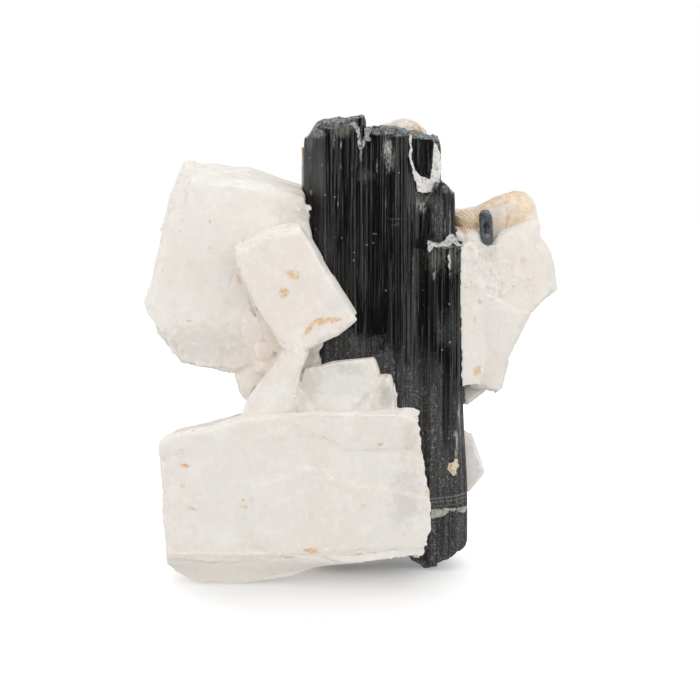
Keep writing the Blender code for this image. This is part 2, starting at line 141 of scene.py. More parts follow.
def hashed(cells, seed):
    """Repeatable numbers from 0 to 1 for whole-number cells."""
    n = cells[..., 0] * 374761393 + cells[..., 1] * 668265263 + cells[..., 2] * 1440662683 + seed * 974634777
    n = n & 0xFFFFFFFF
    n = ((n ^ (n >> 13)) * 1274126177) & 0xFFFFFFFF
    n = ((n ^ (n >> 15)) * 2246822519) & 0xFFFFFFFF
    return (n ^ (n >> 16)) / 4294967295.0


def smooth_noise(points, seed=0):
    """Smooth noise from about -1 to 1."""
    base = np.floor(points).astype(np.int64)
    part = points - base
    part = part * part * part * (part * (part * 6 - 15) + 10)
    total = np.zeros(len(points))
    for corner in np.ndindex(2, 2, 2):
        share = np.prod(np.where(corner, part, 1 - part), axis=1)
        total += share * hashed(base + np.array(corner), seed)
    return total * 2 - 1


def layered_noise(points, octaves=3, seed=0):
    total, size, reach = np.zeros(len(points)), 1.0, 0.0
    for k in range(octaves):
        total += size * smooth_noise(points * 2.0 ** k + 7.7 * k, seed + k)
        reach += size
        size *= 0.5
    return total / reach


def cells(points, seed=0):
    """Each point's nearest scattered seed: how far it is, how much nearer than the next, and its number."""
    base = np.floor(points).astype(np.int64)
    first = np.full(len(points), 9.0)
    second = np.full(len(points), 9.0)
    number = np.zeros(len(points))
    for corner in np.ndindex(3, 3, 3):
        cell = base + np.array(corner) - 1
        spot = cell + np.stack([hashed(cell, seed + k) for k in range(3)], axis=1)
        away = np.linalg.norm(points - spot, axis=1)
        closer = away < first
        second = np.where(closer, first, np.minimum(second, away))
        number = np.where(closer, hashed(cell, seed + 7), number)
        first = np.minimum(first, away)
    return first, second - first, number


def ramp(values, low, high):
    t = np.clip((values - low) / (high - low), 0.0, 1.0)
    return t * t * (3 - 2 * t)


def terraces(heights, sharp=0.12):
    """Turns smooth heights into flat steps with narrow risers."""
    whole = np.floor(heights)
    return whole + ramp(heights - whole, 1.0 - sharp, 1.0)


# Meshes


def positions(mesh):
    found = np.empty(len(mesh.vertices) * 3, np.float32)
    mesh.vertices.foreach_get("co", found)
    return found.reshape(-1, 3).astype(float)


def vertex_normals(mesh):
    found = np.empty(len(mesh.vertices) * 3, np.float32)
    mesh.vertex_normals.foreach_get("vector", found)
    return found.reshape(-1, 3).astype(float)


def set_positions(mesh, points):
    mesh.vertices.foreach_set("co", points.astype(np.float32).ravel())
    mesh.update()


def to_working(points):
    return (points - np.array(ZERO)) / MM


def to_row(points):
    return points * MM + np.array(ZERO)


def place_on(px, py, node="quartz_cluster"):
    """What on_surface finds, in the working frame."""
    return to_working(np.array(on_surface(px, py, node)))


def upright(depth):
    """An upright plane at a depth. Added to another plane, it moves that one as far away."""
    return np.array([depth, 0.0, 0.0])


def applied(made):
    """Replaces an object's mesh by what its modifiers make of it."""
    graph = bpy.context.evaluated_depsgraph_get()
    mesh = bpy.data.meshes.new_from_object(made.evaluated_get(graph))
    made.modifiers.clear()
    made.data = mesh
    return made


def piece_from(name, mesh):
    made = bpy.data.objects.new(name, mesh)
    bpy.context.scene.collection.objects.link(made)
    return made


def voxels(made, size):
    """Remeshes a piece that is in working millimetres."""
    modifier = made.modifiers.new("voxels", "REMESH")
    modifier.mode = "VOXEL"
    modifier.voxel_size = size
    modifier.adaptivity = 0.0
    modifier.use_smooth_shade = True
    return applied(made)


def thinned(made, triangles):
    """Lowers a mesh to about this many triangles, keeping its detail."""
    made.data.calc_loop_triangles()
    count = len(made.data.loop_triangles)
    if count > triangles:
        modifier = made.modifiers.new("thinned", "DECIMATE")
        modifier.ratio = triangles / count
        applied(made)
    return made


def crisp(mesh, degrees):
    """Smooth shading, except across edges that are sharper than this."""
    bm = bmesh.new()
    bm.from_mesh(mesh)
    limit = math.radians(degrees)
    for face in bm.faces:
        face.smooth = True
    for edge in bm.edges:
        edge.smooth = len(edge.link_faces) != 2 or edge.calc_face_angle(0.0) < limit
    bm.to_mesh(mesh)
    bm.free()


def sharp_edges(mesh, degrees=26.0, spacing=0.1):
    """A search tree of places along a mesh's sharp edges, and whether each lies on an outer edge."""
    bm = bmesh.new()
    bm.from_mesh(mesh)
    bmesh.ops.remove_doubles(bm, verts=bm.verts, dist=0.001)
    limit = math.radians(degrees)
    spots, outer = [], []
    for edge in bm.edges:
        angle = edge.calc_face_angle_signed(0.0) if len(edge.link_faces) == 2 else 0.0
        if abs(angle) > limit:
            a, b = (np.array(v.co) for v in edge.verts)
            count = max(1, int(np.linalg.norm(b - a) / spacing))
            spots += [a + (b - a) * (k + 0.5) / count for k in range(count)]
            outer += [angle > 0] * count
    bm.free()
    tree = kdtree.KDTree(len(spots))
    for index, spot in enumerate(spots):
        tree.insert(spot, index)
    tree.balance()
    return tree, np.array(outer)


def snapped(points, edges, reach):
    """Moves points that are nearly on a sharp edge onto it, and gives every point's distance from an outer edge."""
    tree, outer = edges
    moved = points.copy()
    away = np.full(len(points), 4.0)
    for k, point in enumerate(points):
        spot, index, distance = tree.find(point)
        if distance < reach:
            moved[k] = spot
        if outer[index]:
            away[k] = min(distance, 4.0)
    return moved, away


# Shapes drawn in the photograph's frame


def fitted(outline, node="quartz_cluster"):
    """The plane y = a + b x + c z that best follows a node's front inside an outline of photograph places."""
    middle = np.mean(outline, axis=0)
    inner = [middle + (np.array(p) - middle) * s for p in outline for s in (0.35, 0.75)]
    hits = np.array([place_on(px, py, node) for px, py in inner])
    terms = np.column_stack([np.ones(len(hits)), hits[:, 0], hits[:, 2]])
    return np.linalg.lstsq(terms, hits[:, 1], rcond=None)[0]


def on_plane(px, py, plane):
    """The working place where the camera's line through a place of the photograph meets such a plane."""
    eye, line = to_working(np.array(EYE)), np.array(sight(px, py))
    a, b, c = plane
    return eye + line * (a + b * eye[0] + c * eye[2] - eye[1]) / (line[1] - b * line[0] - c * line[2])


def resampled(points, step):
    """Points about a step apart round a closed outline, which keeps its corners."""
    made = []
    for a, b in zip(points, np.roll(points, -1, axis=0)):
        count = max(1, int(round(np.linalg.norm(b - a) / step)))
        made += [a + (b - a) * k / count for k in range(count)]
    return np.array(made)


def sideways(points, scale, seed):
    """Noise that moves points to the side and up or down."""
    across, up = (smooth_noise(points * scale, seed + k) for k in range(2))
    return np.stack([across, np.zeros(len(points)), up], axis=1)


def drawn(outline, plane, proud, depth, jitter=0.0, seed=0, step=0.4, spread=0.0):
    """A closed slab with this outline in the photograph, as vertices and faces in working millimetres.

    Its front stands proud of the plane, jitter frays its outline and spread widens its back."""
    flat = resampled(np.array([on_plane(px, py, plane) for px, py in outline]), step)
    middle = flat.mean(axis=0)
    fray = sideways(flat, 1.1, seed) + sideways(flat, 3.1, seed + 2) * 0.6
    front = flat + fray * jitter - np.array([0.0, proud, 0.0])
    back = front + (front - middle) * spread + np.array([0.0, depth, 0.0])
    count = len(flat)
    sides = [[k, (k + 1) % count, count + (k + 1) % count, count + k] for k in range(count)]
    faces = [list(range(count)), list(range(2 * count - 1, count - 1, -1))] + sides
    return np.vstack([front, back]), faces


def ball():
    bm = bmesh.new()
    bmesh.ops.create_icosphere(bm, subdivisions=3, radius=1.0)
    made = np.array([v.co[:] for v in bm.verts]), [[v.index for v in f.verts] for f in bm.faces]
    bm.free()
    return made


def lump(place, size, turn=0.0, seed=0, rough=0.18):
    """A knobbly rounded body: its half sizes in millimetres and its turn about the line of sight."""
    points, faces = ball()
    points = points * (1.0 + rough * layered_noise(points * 1.4, 2, seed)[:, None])
    points = np.sign(points) * np.abs(points) ** 0.85 * np.array(size)
    c, s = math.cos(math.radians(turn)), math.sin(math.radians(turn))
    x, y, z = points.T
    return np.stack([x * c + z * s, y, z * c - x * s], axis=1) + np.array(place), faces


def joined(mesh, shapes):
    """Adds closed shapes, each given as its vertices and faces, to a mesh."""
    bm = bmesh.new()
    bm.from_mesh(mesh)
    for points, faces in shapes:
        corners = [bm.verts.new(p) for p in points]
        made = [bm.faces.new([corners[k] for k in face]) for face in faces]
        bmesh.ops.recalc_face_normals(bm, faces=made)
    bm.to_mesh(mesh)
    bm.free()


# The white crystals

# Middle of each crystal in the front view, the turn of its long axis from upright in degrees, and its place in depth
CRYSTALS = [
    (-21.0, 54.0, -8.0, 6.0), (-9.0, 52.0, 32.0, -6.0), (-9.5, 18.0, 88.0, -8.0), (-12.0, 34.0, -20.0, -6.0),
    (-1.0, 34.0, 6.0, -4.0), (28.0, 54.0, 20.0, 12.0), (22.0, 41.0, 30.0, 10.0), (0.0, 45.0, 12.0, 26.0),
    (-6.0, 15.0, 80.0, 22.0), (18.0, 45.0, -14.0, 24.0),
]

# Outlines in the photograph
UPPER_LEFT_EDGE = [
    (184, 171), (182, 173), (181, 180), (178, 184), (174, 189), (170, 201), (170, 215),
    (165, 222), (160, 229), (163, 233), (162, 240), (159, 248), (159, 255), (155, 265), (151, 282), (146, 302),
    (148, 311), (152, 316), (156, 327), (165, 334), (165, 339), (168, 345), (174, 354), (186, 363), (198, 365),
    (219, 369),
]
UPPER_LEFT_INSIDE = [(222, 352), (185, 335), (168, 305), (176, 240), (186, 200), (190, 182)]
LUMP_BY_PRISM = [(294, 203), (302, 204), (309, 206), (312, 209), (308, 212), (310, 217), (306, 224), (292, 224)]
BLADE = [
    (292, 351), (306, 357), (305, 362), (295, 376), (291, 384), (292, 391), (297, 396), (291, 406), (285, 414),
    (241, 418), (248, 400), (262, 381), (282, 354),
]
PLATE = [
    (305, 369), (333, 362), (373, 358), (377, 369), (376, 373), (374, 378), (373, 384), (368, 392), (356, 405),
    (349, 414), (300, 414), (300, 392),
]
GLASSY_PLATE = [
    (366, 379), (384, 376), (390, 377), (392, 381), (390, 384), (394, 391), (396, 398), (394, 413), (345, 414),
    (358, 398),
]
GREY_CHIP = [(300, 352), (310, 350), (317, 347), (319, 351), (316, 356), (319, 365), (313, 369), (300, 370)]
LOWER_RIGHT_EDGE = [
    (398, 410), (413, 409), (421, 413), (420, 416), (416, 417), (417, 421), (416, 425), (419, 430), (418, 436),
    (420, 441), (419, 447), (421, 452), (420, 458), (423, 463), (424, 470), (423, 476), (426, 483), (425, 488),
    (429, 494), (428, 500), (430, 507), (429, 516), (430, 527), (428, 536), (425, 540), (428, 545), (424, 548),
    (425, 553), (420, 556),
]
LOWER_RIGHT_INSIDE = [(414, 556), (418, 500), (410, 440), (398, 416)]
LEFT_FLANK = [
    (249, 309), (243, 325), (236, 348), (233, 366), (237, 380), (241, 392), (247, 399), (262, 381), (281, 356),
    (272, 340), (260, 322),
]
# Beside the prism's right edge, and beside the small crystal
BESIDE_PRISM_ABOVE = [(460, 246), (474, 242), (486, 254), (490, 280), (488, 304), (460, 306)]
BESIDE_PRISM_BELOW = [(460, 296), (486, 296), (490, 320), (488, 350), (482, 384), (462, 387)]
STAINED_FACE = [(503, 208), (519, 203), (526, 211), (508, 224)]
LOWER_RIM = [
    (312, 552), (340, 562), (361, 562), (372, 560), (383, 559), (395, 557), (410, 556), (420, 555), (421, 540),
    (330, 546),
]
LOWER_BEVEL = [
    (167, 554), (262, 554), (300, 557), (330, 562), (345, 567), (300, 577), (262, 582), (232, 584), (205, 583),
    (183, 575), (169, 567),
]
# The bevel's plane: its depth, and how that changes to the right and upwards
BEVEL_SLOPE = (-8.76, 0.0, -0.643)
BELOW_MIDDLE = [(254, 310), (263, 316), (287, 352), (282, 359), (272, 351), (261, 333)]
PLATE_TOP = [
    (320, 366), (333, 362), (373, 358), (374.5, 361), (378, 371), (378.5, 376), (390, 376), (392.5, 381), (394, 390),
]
BEHIND_SMALL = [(476, 214), (482, 208), (494, 203), (504, 200), (507, 214), (504, 234), (486, 246), (476, 240)]
TIP = [
    (385, 134), (389, 125), (396, 120), (403, 118), (411, 120), (419, 124), (424, 129), (428, 137), (430, 150),
    (385, 150),
]
# The middle of the growth lines on the stained ridge, and how close they are
RIDGE_MIDDLE = (453, 234)
RIDGE_LINES = 13.0
# Places on the lower block's face clear of the plates that cleavage left on it
LOWER_FACE = [(232, 530), (250, 450), (380, 480)]


def ragged_sheets(edge, inside, plane, layers, thick, jitter, seed):
    """Thin sheets one behind the other that end raggedly along a crystal's edge."""
    return [drawn(edge + inside, plane + upright(k * thick + 0.12), 0.0, thick * 1.2, jitter, seed + 5 * k, 0.28)
            for k in range(layers)]


def lower_face():
    """The plane of the lower block's face."""
    hits = np.array([place_on(px, py) for px, py in LOWER_FACE])
    return np.linalg.solve(np.column_stack([np.ones(3), hits[:, 0], hits[:, 2]]), hits[:, 1])


def beside_prism(py):
    """A slope that rises from the right crystals' front, at a height in the photograph, to the prism's right edge."""
    near = place_on(462, 300, "tourmaline_prism")
    far = place_on(486, py)
    near_x, near_y, far_x, far_y = near[0] + 0.6, near[1] + 0.8, far[0], far[1] + 0.1
    rise = (far_y - near_y) / (far_x - near_x)
    return np.array([near_y - rise * near_x, rise, 0.0])


def scattered_lumps(count, px, py, sizes, seed, level=(99.0, 0.0, 0.0)):
    """Small grains on the white crystals, or on a plane before them, inside a rectangle of the photograph."""
    made = []
    for k in range(count):
        a, b, c, d = (float(hashed(np.array([k, j, 5]), seed)) for j in range(4))
        sighted = px[0] + a * (px[1] - px[0]), py[0] + b * (py[1] - py[0])
        place = place_on(*sighted)
        if level[0] + level[1] * place[0] < place[1]:
            place = on_plane(*sighted, level)
        size = sizes[0] + (sizes[1] - sizes[0]) * c * c
        made.append(lump(place, (size, size * 0.8, size * (0.7 + 0.5 * d)), 180.0 * d, seed + k, 0.3))
    return made


def quartz_shapes():
    """What the white crystals carry beyond their main forms."""
    upper = fitted(UPPER_LEFT_EDGE + UPPER_LEFT_INSIDE)
    face = lower_face()
    slope = beside_prism(262)
    tip_depth = place_on(407, 124)[1] + 0.6
    made = ragged_sheets(UPPER_LEFT_EDGE, UPPER_LEFT_INSIDE, upper, 4, 0.9, 0.3, 101)
    made += ragged_sheets(LOWER_RIGHT_EDGE, LOWER_RIGHT_INSIDE, face - upright(0.18), 4, 0.8, 0.26, 131)
    # Outline, plane, how far it stands proud, depth, jitter and seed, and for the tip its step and spread too
    slabs = [
        (LOWER_RIM, face, 0.1, 9.0, 0.08, 141),
        (LOWER_BEVEL, BEVEL_SLOPE, 0.05, 2.4, 0.1, 143),
        (LEFT_FLANK, fitted(LEFT_FLANK), 0.1, 2.0, 0.15, 147),
        (BESIDE_PRISM_ABOVE, slope, 0.0, 4.0, 0.2, 149),
        (BESIDE_PRISM_BELOW, beside_prism(330), 0.0, 4.0, 0.2, 148),
        (BEHIND_SMALL, fitted(STAINED_FACE), -0.1, 3.0, 0.1, 150),
        (TIP, upright(tip_depth), 0.0, 3.5, 0.15, 152, 0.4, -0.12),
        (BLADE, fitted(BLADE), 0.3, 2.0, 0.06, 151),
        (PLATE, fitted(PLATE), 0.12, 2.0, 0.1, 155),
        (GLASSY_PLATE, fitted(GLASSY_PLATE) + upright(0.5), 0.0, 1.6, 0.2, 159),
        (BELOW_MIDDLE, upright(-6.5), 0.0, 4.0, 0.2, 161),
        (GREY_CHIP, upright(-1.2), 0.0, 1.0, 0.15, 163),
        (LUMP_BY_PRISM, upright(-0.9), 0.0, 1.6, 0.2, 167),
    ]
    made += [drawn(*slab) for slab in slabs]
    made += scattered_lumps(16, (296, 308), (206, 221), (0.3, 0.6), 171)
    made += scattered_lumps(120, (464, 503), (246, 300), (0.2, 0.6), 181, slope)
    made += scattered_lumps(40, (500, 535), (255, 292), (0.2, 0.4), 183)
    made.append(lump(place_on(263, 351), (1.8, 0.8, 1.7), 0.0, 263, 0.2))
    for px, py, size, turn in (
        (475, 289, (2.0, 0.8, 2.0), 0.0), (484, 266, (1.4, 0.6, 1.5), 30.0), (471, 256, (1.3, 0.7, 1.7), 0.0),
        (497, 254, (1.2, 0.5, 1.0), 20.0),
    ):
        made.append(lump(on_plane(px, py, slope + upright(0.4)), size, turn, px, 0.2))
    return made


def cut_end(points):
    """Takes off what the lower block's right end has beyond its ragged edge in the photograph."""
    plane = lower_face()
    edge = np.array([on_plane(px, py, plane) for px, py in LOWER_RIGHT_EDGE[2:]])[::-1]
    x, y, z = points.T
    ragged = layered_noise(points * np.array([0.0, 0.4, 1.7]), 2, 47) * 0.26
    limit = np.interp(z, edge[:, 2], edge[:, 0]) + ragged
    over = (y < 0.8) & (x > limit) & (x < limit + 2.5) & (z > edge[0, 2]) & (z < edge[-1, 2] + 1.0)
    lowered = points.copy()
    lowered[:, 0] = np.where(over, limit, x)
    return lowered


def settled(points):
    """Brings the stained crystal's top down to its height in the photograph."""
    base = place_on(515, 240)[2]
    clear, full = (on_plane(px, 240, upright(8.0))[0] for px in (440, 447))
    lowered = points.copy()
    lowered[:, 2] -= ramp(points[:, 0], clear, full) * np.maximum(points[:, 2] - base, 0.0) * STAINED_LOWERED
    return lowered


def cut_plate(points):
    """Takes off the top of the broken plates that would show above their front edge."""
    plane = fitted(PLATE)
    edge = np.array([on_plane(px, py, plane) for px, py in PLATE_TOP])
    x, y, z = points.T
    behind = y - np.interp(x, edge[:, 0], edge[:, 1])
    limit = np.interp(x, edge[:, 0], edge[:, 2]) - 0.17 * behind
    over = (x > edge[0, 0]) & (x < edge[-1, 0]) & (behind > -0.6) & (y < 0.3) & (z > limit) & (z < limit + 3.0)
    lowered = points.copy()
    lowered[:, 2] = np.where(over, limit, z)
    return lowered


def levelled(points):
    """Lowers the plates on the lower block's face, which stand only just proud of it."""
    a, b, c = lower_face()
    x, y, z = points.T
    proud = a + b * x + c * z - y
    plates = (x > -33.5) & (x < 14.5) & (z > 4.6) & (z < 31.2) & (proud > 0.0) & (proud < 2.2)
    return points + np.where(plates, proud * PLATES_LOWERED, 0.0)[:, None] * np.array([0.0, 1.0, 0.0])


def quartz_relief(points, normals, edge):
    """How far each point of the white crystals moves along its normal: cleavage steps, chipped edges and grain.

    edge is each point's distance from an outer edge."""
    along, across, owner = crystal_axes(points)
    depth = points[:, 1]
    grid = np.stack([across * 0.10, depth * 0.06, along * 0.28], axis=1) + owner[:, None] * 3.7
    front = np.abs(normals[:, 1])
    steps = terraces(layered_noise(grid, 3, 11) * 2.6, 0.07) * 0.05 * ramp(front, 0.5, 0.85)
    sheets = np.stack([across * 0.07, depth * 1.15, along * 0.07], axis=1) + owner[:, None] * 5.1
    sides = terraces(layered_noise(sheets, 2, 23) * 2.4, 0.3) * 0.20 * ramp(1.0 - front, 0.25, 0.7)
    waves = np.stack([across * 0.35, depth * 0.2, along * 0.8], axis=1)
    ledges = terraces(layered_noise(waves, 3, 29) * 2.2, 0.12) * 0.05 * ramp(front, 0.6, 0.9)
    ledges = ledges * np.isin(owner, (1, 3, 4)) * ramp(smooth_noise(points * 0.16, 30), -0.3, 0.2)
    grain = layered_noise(points * 0.9, 3, 31) * 0.02 + layered_noise(points * 2.6, 2, 37) * 0.015
    first, _, number = cells(points * 0.62, 41)
    bites = (number > 0.66) * ramp(-first, -0.6, -0.15)
    chips = -ramp(-edge, -0.8, 0.0) * 0.26 * bites
    fine = -ramp(-edge, -0.4, 0.0) * 0.07 * (0.5 + smooth_noise(points * 1.9, 43))
    middle = place_on(*RIDGE_MIDDLE)
    reach = np.hypot(points[:, 0] - middle[0], points[:, 2] - middle[2])
    near = ramp(-np.abs(reach - 3.4), -1.7, -1.1)
    near = near * ramp(points[:, 2], middle[2] - 1.0, middle[2]) * (points[:, 0] > 18.5)
    ridge = near * (0.35 + 0.03 * np.sin(reach * RIDGE_LINES)) * (depth < 14.0)
    return steps + ledges + sides + grain + chips + fine + ridge


def crystal_axes(points):
    """Each point's place along and across the crystal that it belongs to, and that crystal's number."""
    middles = np.array([(x, y, z) for x, z, _, y in CRYSTALS])
    away = np.linalg.norm((points[:, None, :] - middles[None]) * np.array([1.0, 1.2, 1.0]), axis=2)
    owner = away.argmin(axis=1)
    turns = np.radians(np.array([turn for _, _, turn, _ in CRYSTALS]))[owner]
    along = np.sin(turns) * -points[:, 0] + np.cos(turns) * points[:, 2]
    across = np.cos(turns) * points[:, 0] + np.sin(turns) * points[:, 2]
    return along, across, owner


def finished(made, shader, nodes=()):
    """Puts a piece that is in working millimetres in the row frame, with its material and its body."""
    set_positions(made.data, to_row(positions(made.data)))
    made.data.materials.clear()
    made.data.materials.append(shader)
    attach(made, "root")
    for node in nodes:
        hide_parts(node)
    return made


def make_quartz(shader):
    made = piece_from("white_crystals", frame["nodes"]["quartz_cluster"].data.copy())
    set_positions(made.data, levelled(to_working(positions(made.data))))
    joined(made.data, quartz_shapes())
    edges = sharp_edges(made.data)
    made = voxels(made, QUARTZ_VOXEL)
    points, edge = snapped(positions(made.data), edges, QUARTZ_VOXEL * SNAP_SHARE)
    points = settled(cut_end(cut_plate(points)))
    set_positions(made.data, points)
    normals = vertex_normals(made.data)
    moved = points + normals * quartz_relief(points, normals, edge)[:, None]
    moved[:, 2] = np.where(points[:, 2] < 0.25, np.maximum(points[:, 2], 0.0), np.maximum(moved[:, 2], 0.02))
    # The lower block's underside rises to the right, and a little at its far left
    lift = np.maximum(moved[:, 0] + 20.0, 0.0) * UNDERSIDE_RISE * ramp(-moved[:, 2], -5.0, 0.0) * (moved[:, 0] < 12.0)
    lift += np.maximum(-23.5 - moved[:, 0], 0.0) * FAR_LEFT_RISE * ramp(-moved[:, 2], -6.0, 0.0)
    moved[:, 2] += lift * ramp(-moved[:, 1], -12.0, -4.0)
    set_positions(made.data, moved)
    made = thinned(made, QUARTZ_TRIANGLES)
    crisp(made.data, QUARTZ_CREASE)
    return finished(made, shader, ["quartz_cluster"])


# The black prisms

# The white mineral's crust on the prism, as outlines in the photograph with how far each stands proud
CRUSTS = [
    ("white_patch", [
        (410, 156), (413, 164), (415, 170), (420, 176), (424, 177), (428, 176), (431, 180), (431, 170), (433, 160),
        (433, 151), (434, 142), (437, 146), (440, 155), (441, 165), (441, 174), (440, 181), (436, 185), (433, 192),
        (426, 193), (417, 192), (416, 184), (414, 176), (412, 167), (410, 161)], 0.10),
    ("pale_line", [
        (410, 135), (412, 136), (411, 143), (412, 150), (411, 158), (409, 157), (410, 148), (409, 141)], 0.06),
    ("notch_filling", [
        (364, 129), (367, 126), (371, 127), (372, 131), (369, 135), (371, 139), (369, 147), (368, 151), (366, 144),
        (363, 139), (365, 134)], 0.0),
    ("notch_streak", [
        (349, 123), (354, 122), (358, 126), (361, 131), (362, 137), (365, 142), (363, 149), (360, 150), (358, 142),
        (357, 134), (353, 127)], 0.02),
    ("pale_band", [
        (430, 510), (440, 509), (450, 508), (458, 507), (467, 506), (467, 511), (462, 512), (455, 511), (450, 512),
        (445, 515), (440, 516), (434, 519), (430, 518)], 0.12),
    ("crumb", [
        (447, 468), (449, 463), (453, 461), (455, 458), (458, 459), (458, 466), (456, 469), (457, 473), (453, 475),
        (450, 472)], 0.5),
    ("ledge_crust", [
        (428, 241), (431, 242), (438, 243), (443, 241), (446, 236), (451, 233), (457, 240), (462, 246), (459, 247),
        (453, 243), (449, 246), (450, 254), (451, 262), (449, 270), (448, 262), (448, 250), (443, 246), (434, 247),
        (430, 252), (428, 250)], 0.12),
]
# Parts of the big prism that stand proud of their column, as outlines in the photograph
CHUNK = [
    (413, 137), (433, 139), (433, 150), (432, 160), (431, 168), (430, 175), (424, 176), (420, 175), (415, 168),
    (413, 160),
]
DULL_FACET = [
    (435, 181), (438, 184), (442, 190), (443, 205), (443, 225), (442, 240), (432, 242), (432, 215), (433, 195),
]


def striations(points, normals, scale=1.0):
    """Grooves and narrow steps along the prism, which change across each face and hardly at all along it."""
    place = np.stack([points[:, 0], points[:, 1], points[:, 2] * 0.012], axis=1) / scale
    steps = terraces(layered_noise(place * 1.3, 3, 51) * 5.0, 0.35) * 0.042
    sharp = terraces(layered_noise(place * 4.2, 2, 53) * 2.6, 0.35) * 0.034
    broad = smooth_noise(place * 0.3, 57) * 0.10
    return (steps + sharp + broad) * ramp(1.0 - np.abs(normals[:, 2]), 0.4, 0.8) * scale


def make_prism(shader):
    made = piece_from("black_prism", frame["nodes"]["tourmaline_prism"].data.copy())
    squeeze = np.array([1.0, 1.0, 1.0 / PRISM_STRETCH])
    set_positions(made.data, to_working(positions(made.data)))
    joined(made.data, [
        drawn(CHUNK, fitted(CHUNK, "tourmaline_prism"), 0.35, 2.0, 0.08, 201),
        drawn(DULL_FACET, fitted(DULL_FACET, "tourmaline_prism"), 0.25, 2.0, 0.05, 205),
    ])
    set_positions(made.data, positions(made.data) * squeeze)
    made = voxels(made, PRISM_VOXEL)
    set_positions(made.data, positions(made.data) / squeeze)
    points, normals = positions(made.data), vertex_normals(made.data)
    flat = normals * np.array([1.0, 1.0, 0.0])
    end = ramp(np.abs(normals[:, 2]), 0.4, 0.8)
    rough = (layered_noise(points * 0.9, 3, 61) * 0.35 + layered_noise(points * 2.6, 2, 63) * 0.14) * end
    moved = points + flat * striations(points, normals)[:, None]
    side = ramp(points[:, 0], 18.8, 20.6) * ramp(-points[:, 2], -60.5, -59.0) * ramp(points[:, 2], 12.0, 30.0)
    moved[:, 0] -= side * RIGHT_SIDE_TRIM
    moved[:, 2] += rough * np.sign(normals[:, 2])
    moved[:, 2] = np.where(points[:, 2] < 0.3, points[:, 2], np.maximum(moved[:, 2], 0.02))
    set_positions(made.data, moved)
    made = thinned(made, PRISM_TRIANGLES)
    crisp(made.data, PRISM_CREASE)
    return finished(made, shader, ["tourmaline_prism"])


def make_small_prism(shader):
    """The small crystal in the right group: rounded ends, six worn sides and a hollow front."""
    middle = place_on(485.6, 226.5, "small_tourmaline")
    around, along = 48, 40
    points, faces = [], []
    for i in range(along):
        t = -1.0 + 2.0 * i / (along - 1)
        thick = max(0.03, (1.0 - abs(t) ** 5.0)) ** 0.45
        for j in range(around):
            a = 2.0 * math.pi * j / around
            hexagon = 1.0 / max(abs(math.cos(a + k * math.pi / 3.0)) for k in range(3))
            points.append([math.cos(a) * thick * (0.35 + 0.65 * hexagon) * 1.18,
                           math.sin(a) * thick * (0.35 + 0.65 * hexagon) * 1.15, t * 3.15])
    for i in range(along - 1):
        for j in range(around):
            k = (j + 1) % around
            faces.append([i * around + j, i * around + k, (i + 1) * around + k, (i + 1) * around + j])
    faces += [list(range(around - 1, -1, -1)), list(range((along - 1) * around, along * around))]
    points = np.array(points)
    lean = math.radians(4.0)
    hollow = ramp(-points[:, 1], 0.55, 1.0) * ramp(-np.abs(points[:, 0]), -0.85, -0.35)
    hollow = hollow * ramp(-np.abs(points[:, 2] - 0.2), -2.1, -1.2)
    points[:, 1] += hollow * 0.45
    points[:, 0] += -math.tan(lean) * points[:, 2]
    points[:, 1] += 0.14 * points[:, 2]
    points = points + np.array([middle[0] + 0.05, middle[1] - 0.9, middle[2] - 0.1])
    mesh = bpy.data.meshes.new("small_black_prism")
    joined(mesh, [(points, faces)])
    made = voxels(piece_from("small_black_prism", mesh), SMALL_VOXEL)
    points, normals = positions(made.data), vertex_normals(made.data)
    grain = layered_noise(points * 2.0, 3, 71) * 0.09 + striations(points, normals, 0.45)
    set_positions(made.data, points + normals * grain[:, None])
    crisp(made.data, PRISM_CREASE)
    return finished(made, shader, ["small_tourmaline"])


def make_crusts(shaders):
    """The white mineral's remains on the prism's front."""
    for number, (name, outline, proud) in enumerate(CRUSTS):
        plane = upright(1.5) if name == "notch_filling" else fitted(outline, "tourmaline_prism")
        mesh = bpy.data.meshes.new(name)
        joined(mesh, [drawn(outline, plane, proud + 0.18, 1.2, 0.15, 300 + 7 * number, 0.2)])
        made = voxels(piece_from(name, mesh), CRUST_VOXEL)
        points, normals = positions(made.data), vertex_normals(made.data)
        grain = layered_noise(points * 1.6, 3, 310 + number) * 0.14
        set_positions(made.data, points + normals * grain[:, None])
        crisp(made.data, CRUST_CREASE)
        finished(made, shaders.get(name, shaders["crust"]))


# Shaders


